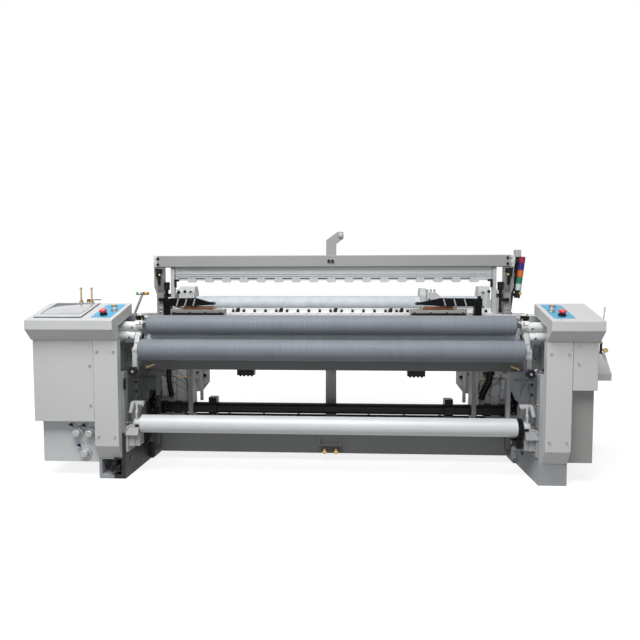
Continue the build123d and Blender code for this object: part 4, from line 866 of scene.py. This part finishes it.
# Bright flats along the tops of the bosses as painted highlights, the bright cap on the right knob, a short link beside
# each knob
boss = {"y": 130, "radius": 25.5, "tilt": radians(38), "highlightFlats": ((1146, 850, 66), (1152, 795, 62))}
highlightFlats = Piece("bossFlatHighlights", "milledFlat")
for x, z, length in boss["highlightFlats"]:
    highlightFlats.slab((length, 17, 3), pair(x, boss["y"] - boss["radius"] * sin(boss["tilt"]),
        z + boss["radius"] * cos(boss["tilt"])), 1, Matrix.Rotation(boss["tilt"], 4, "X"))
links = Piece("bracketLinks", "machinedSteel")
links.turned([(0, 0), (9, 0), (10, 2), (10, 9), (8, 12), (0, 13)], (1082, 160, 910), "up", 24)
links.platePair([(1024, 874), (1030, 882), (1062, 872), (1066, 862), (1058, 858)], 7, (0, 118, 0), "front", 1.5)

# Sley: brass ferrules on the nozzles and small brass screws beside them
sley = {"count": 29, "pitch": 2 * 972 / 29.23, "front": 428, "high": 920}
nozzles = [(i - (sley["count"] - 1) / 2) * sley["pitch"] for i in range(sley["count"])]
ferrules = Piece("nozzleFerrules", "brass")
ferrules.turned([(3.1, 0), (4.4, 0), (4.4, 4), (3.1, 4)],
    [(x - 4, sley["front"] + 9, sley["high"] + 13) for x in nozzles], aimed(0, 0.42, 0.91), 10)
ferrules.turned([(0, 0), (3.2, 0), (3.2, 1.6), (0, 2)], [(x - 15, sley["front"], sley["high"] - 9) for x in nozzles],
    "front", 10)

# Temples: a black strip along the foot of each bar as painted shadow, a dark slot and bolts in the bars, bolts on the
# covers' ribs and ends
temples = {"front": 298, "low": 905, "half": 162, "sides": ((-1, -782, 207, 86), (1, 630, 248, 119))}
templeBolts = Piece("templeBolts", "blackPlastic")
for side, middle, outward, inward in temples["sides"]:
    front, low, half = temples["front"], temples["low"], temples["half"]
    templeBolts.socketBolt(4.4, [(middle - half + 24 + 92 * i, front - 5, low + 18) for i in range(4)])
    # A black strip along the foot of the bar: painted shadow.
    templeBolts.slab((2 * half - 14, 3, 13), (middle, front, low + 8))
    templeBolts.slab((190, 6, 4), (middle, front + 4, low + 35))
    templeBolts.hexBolt(12, (middle - side * inward, front - 4, low + 70))
    templeBolts.hexBolt(9, [(middle + side * share * outward, front + 2, low + 88) for share in (0.2, 0.55, 0.85)])
    templeBolts.knurled(9, 16, 6, 1.6, (middle + side * (outward - 14), front + 14, low + 98), "up")

# Drive boxes: cover bolts, brass pipes in clips, thin wires, black knobs
driveBox = {"boltBack": 624, "knobBack": 626, "knobs": ((828, 500, 12), (878, 520, 7), (898, 470, 19)),
    "covers": ((948, 1012, 330, 630), (1018, 1072, 318, 600), (1078, 1122, 360, 560))}
boxBolts = Piece("boxBolts", "screwSteel")
boxPipes = Piece("boxPipes", "pipeBrass")
boxWires = Piece("boxWires", "wireGrey")
boxKnobs = Piece("boxKnobs", "blackPlastic")
for left, right, low, high in driveBox["covers"]:
    boxBolts.hexBolt(7, pair((left + 8, right - 8), driveBox["boltBack"], (low + 60, (low + high) / 2, high - 60)))
for x, z, radius in driveBox["knobs"]:
    boxKnobs.knurled(radius, 8, 8, radius * 0.1, pair(x, driveBox["knobBack"], z))
boxPipes.hosePair([(932, 626, 560), (925, 610, 500), (1020, 600, 496), (1100, 622, 498)], 4.5)
for drop in (0, 1, 2):
    boxWires.hosePair([(1100, 624, 590 - 14 * drop), (1076 - 8 * drop, 600, 520 - 18 * drop),
        (1010 + 6 * drop, 596, 540 - 44 * drop), (948, 608, 470 - 30 * drop), (944, 640, 430 - 20 * drop)], 2)

# Servo motors: cooling ribs and fan covers
motors = Piece("motorRibs", "blackPaint")
for x, z, radius, back, lastRib, pitch in ((1030, 470, 78, 1060, 970, 16), (-1040, 430, 56, 990, 950, 12)):
    motors.turned([(radius - 1, -3), (radius + 4, -3), (radius + 4, 3), (radius - 1, 3)],
        [(x, lastRib - i * pitch, z) for i in range(9)], "back", 32)
    for rim in [radius * share for share in (0.25, 0.45, 0.65)]:
        motors.turned([(rim, 0), (rim + 5, 0), (rim + 4, 3), (rim + 1, 3)], (x, back, z), "back")

# Left foot: the jack that lies in it, with its collar and a bolt
jack = Piece("footJack", "blackPaint")
jack.turned([(0, 0), (22, 0), (24, 3), (24, 14), (20, 16), (20, 42), (23, 44), (23, 56), (0, 58)], (-1212, 46, 62),
    "right")
jack.turned([(0, 0), (15, 0), (17, 3), (17, 22), (13, 28), (0, 30)], (-1190, 40, 78), aimed(0.1, -0.3, 0.95), 24)
jack.hexBolt(14, (-1248, 60, 60), "right")

# Hose behind the left end of the cloth roller, from the rib down to the frame
Piece("lowHose", "hoseRubber").hose([(-1065, 404, 330), (-1063, 330, 250), (-1078, 300, 190), (-1104, 300, 142),
    (-1134, 310, 120)], 10)

# Terminal strip on the left inner wall, tray valve's wheel and nut, button at the tower's foot and the tower's back
terminal = Piece("terminalStrip", "blackPlastic")
terminal.slab((8, 18, 62), (-1126, 42, 534), 1.5)
terminal.slab((3, 14, 4), spread(-1121, 42, tuple(range(510, 570, 10))), 0.8)
trayValve = Piece("trayValveWheel", "brass")
trayValve.knurled(15, 9, 10, 1.6, (1618, 392, 700))
trayValve.turned([(8.2, 0), (11, 0), (11, 3), (9.6, 4), (11, 5), (11, 9), (8.2, 9)], (1614, 440, 737), "up", 20)
Piece("towerButton", "buttonAmber").turned([(0, 0), (8, 0), (9, 2), (9, 8), (6, 12), (0, 13)], (1168, 559, 1034),
    "front", 22)
towerBack = Piece("towerBack", "blackPlastic")
lean = Matrix.Rotation(tower["turn"], 4, "Y")
towerBack.slab((20, 8, 206), (1149 + 0.12 * 105, 590, tower["base"] + 105), 2, lean)
for height, wide in ((8, 30), (96, 24), (178, 34)):
    towerBack.slab((wide, 20, 26), (1142 + 0.12 * height, 592, tower["base"] + height), 2.5, lean)

# Castings of the backrest: bolt heads on their fronts and tops
castingBolts = Piece("castingBolts", "blackPaint")
castingBolts.hexBolt(13, spread((728, 756, 784), 1490, 1062), "up")
castingBolts.hexBolt(13, spread((740, 800), 1454, (905, 985)))
castingBolts.hexBolt(15, pair(1152, 1464, 930) + pair(1200, 1464, 1052) + [
    (1152, 1464, 1040), (-1152, 1464, 1046), (-1250, 1464, 1046), (-1250, 1464, 930)])

# Behind: conduit and clamps on the rear beam, junction boxes on the inner walls, bolts of beam and backrest bar
rear = {"beamBack": 1210, "beamMiddle": 1165, "beamTop": 120, "barBack": 1570, "barMiddle": 831,
    "clamps": tuple(range(-1048, 1049, 262)), "conduit": 128, "boxY": 1082, "boxX": 1118}
conduit = Piece("rearConduit", "hoseRubber")
conduit.hose(spread((-1092, -546, 0, 546, 1092), rear["beamMiddle"], rear["conduit"]), 9, 3)
conduit.hosePair([(1092, rear["beamMiddle"], rear["conduit"]), (1118, 1150, 145), (1122, 1118, 240),
    (1122, 1090, 350), (1122, rear["boxY"], 446)], 9, 6)
clamps = Piece("rearClamps", "blackPlastic")
clamps.slab((20, 30, 20), spread(rear["clamps"], rear["beamMiddle"], rear["beamTop"] + 9), 2.5)
clamps.socketBolt(3.4, spread(rear["clamps"], rear["beamMiddle"], rear["beamTop"] + 19), "up")
clamps.slab((26, 90, 110), pair(rear["boxX"], rear["boxY"], 496), 4)
clamps.slab((20, 34, 16), pair(1121, 1116, 250) + pair(1121, 1090, 350), 2.5)
clamps.socketBolt(3.4, pair(rear["boxX"] - 13, (1046, 1118), (450, 542)), "inward")
rearBolts = Piece("rearBolts", "screwSteel")
rearBolts.hexBolt(19, pair((1060, 1100), rear["beamBack"], (52, 98)), "back")
rearBolts.hexBolt(19, pair((1150, 1196, 1240), rear["barBack"], rear["barMiddle"]), "back")

# Doors, locks and hinges at the backs of the cabinets
doors = Piece("cabinetDoors", "panelPaint")
locks = Piece("doorLocks", "darkSteel")
for x, back, wide, low, high in ((-1452, 475, 300, 366, 820), (1349, 375, 96, 560, 820)):
    middle = (low + high) / 2
    lockX = x + wide / 2 - 20
    doors.slab((wide, 5, high - low), (x, back + 1.5, middle), 1.2)
    locks.turned([(0, 0), (12, 0), (12, 3), (9, 5), (0, 5)], (lockX, back + 4, middle), "back", 24)
    locks.slab((3, 4, 14), (lockX, back + 10, middle), 0.8)
    locks.slab((10, 9, 46), spread(x - wide / 2 + 2, back + 5, (low + 50, high - 50)), 1.5)

for added in Piece.made:
    finished(added.name, added.bm, added.finish, added.body)
print("pieces made:", len(Piece.made))


# Floor and light
studio = {"floorSize": 60.0, "floorShade": (0.34, 0.34, 0.342), "glow": (0.82, 1.0), "fade": (1.6, 3.6), "sky": 0.06,
          "top": {"power": 272, "size": (3.6, 2.6), "place": (-0.6, -3.0, 4.3), "aim": (0.0, -0.2, 0.7)},
          "front": {"power": 20, "size": (3.0, 2.0), "place": (0.6, -5.4, 1.6), "aim": (0.0, 0.0, 0.7)}}
floorMesh = bpy.data.meshes.new("studioFloor")
bm = bmesh.new()
bmesh.ops.create_grid(bm, x_segments=1, y_segments=1, size=studio["floorSize"] / 2)
bm.to_mesh(floorMesh)
bm.free()
floor = bpy.data.objects.new("studioFloor", floorMesh)
bpy.context.scene.collection.objects.link(floor)
paperSheet = Finish("floorPaper")
away = paperSheet.add("ShaderNodeVectorMath", {"operation": "LENGTH"}, {0: paperSheet.place}, 1)
near, far = [(glow, glow, glow) for glow in studio["glow"]]
glow = paperSheet.mix(paperSheet.ramp(away, *studio["fade"]), near, far)
glow = paperSheet.mix(paperSheet.seen(), (0.0, 0.0, 0.0), glow)
paper = paperSheet.mix(paperSheet.ramp(paperSheet.noise(0.7, 2.0), 0.3, 0.7), toned(studio["floorShade"], 0.995),
                       studio["floorShade"])
floorMesh.materials.append(paperSheet.surface(paper, 0.9, None, 0.0, Emission_Color=glow, Emission_Strength=1.0))

sky = Finish("studioSky", "World")
bpy.context.scene.world = sky.owner
skyLight, skySeen = [sky.add("ShaderNodeBackground", {}, {"Color": (1.0, 1.0, 1.0), "Strength": strength})
                     for strength in (studio["sky"], 1.0)]
sky.show(sky.add("ShaderNodeMixShader", {}, {0: sky.seen(), 1: skyLight, 2: skySeen}))

for lampName in ("top", "front"):
    lamp = studio[lampName]
    lampData = bpy.data.lights.new(lampName + "Softbox", "AREA")
    lampData.shape = "RECTANGLE"
    lampData.size, lampData.size_y = lamp["size"]
    lampData.energy = lamp["power"]
    lampObject = bpy.data.objects.new(lampName + "Softbox", lampData)
    lampObject.location = lamp["place"]
    aim = Vector(lamp["aim"]) - Vector(lamp["place"])
    lampObject.rotation_euler = aim.to_track_quat("-Z", "Y").to_euler()
    bpy.context.scene.collection.objects.link(lampObject)
print("studio lit")

bpy.context.view_layer.update()
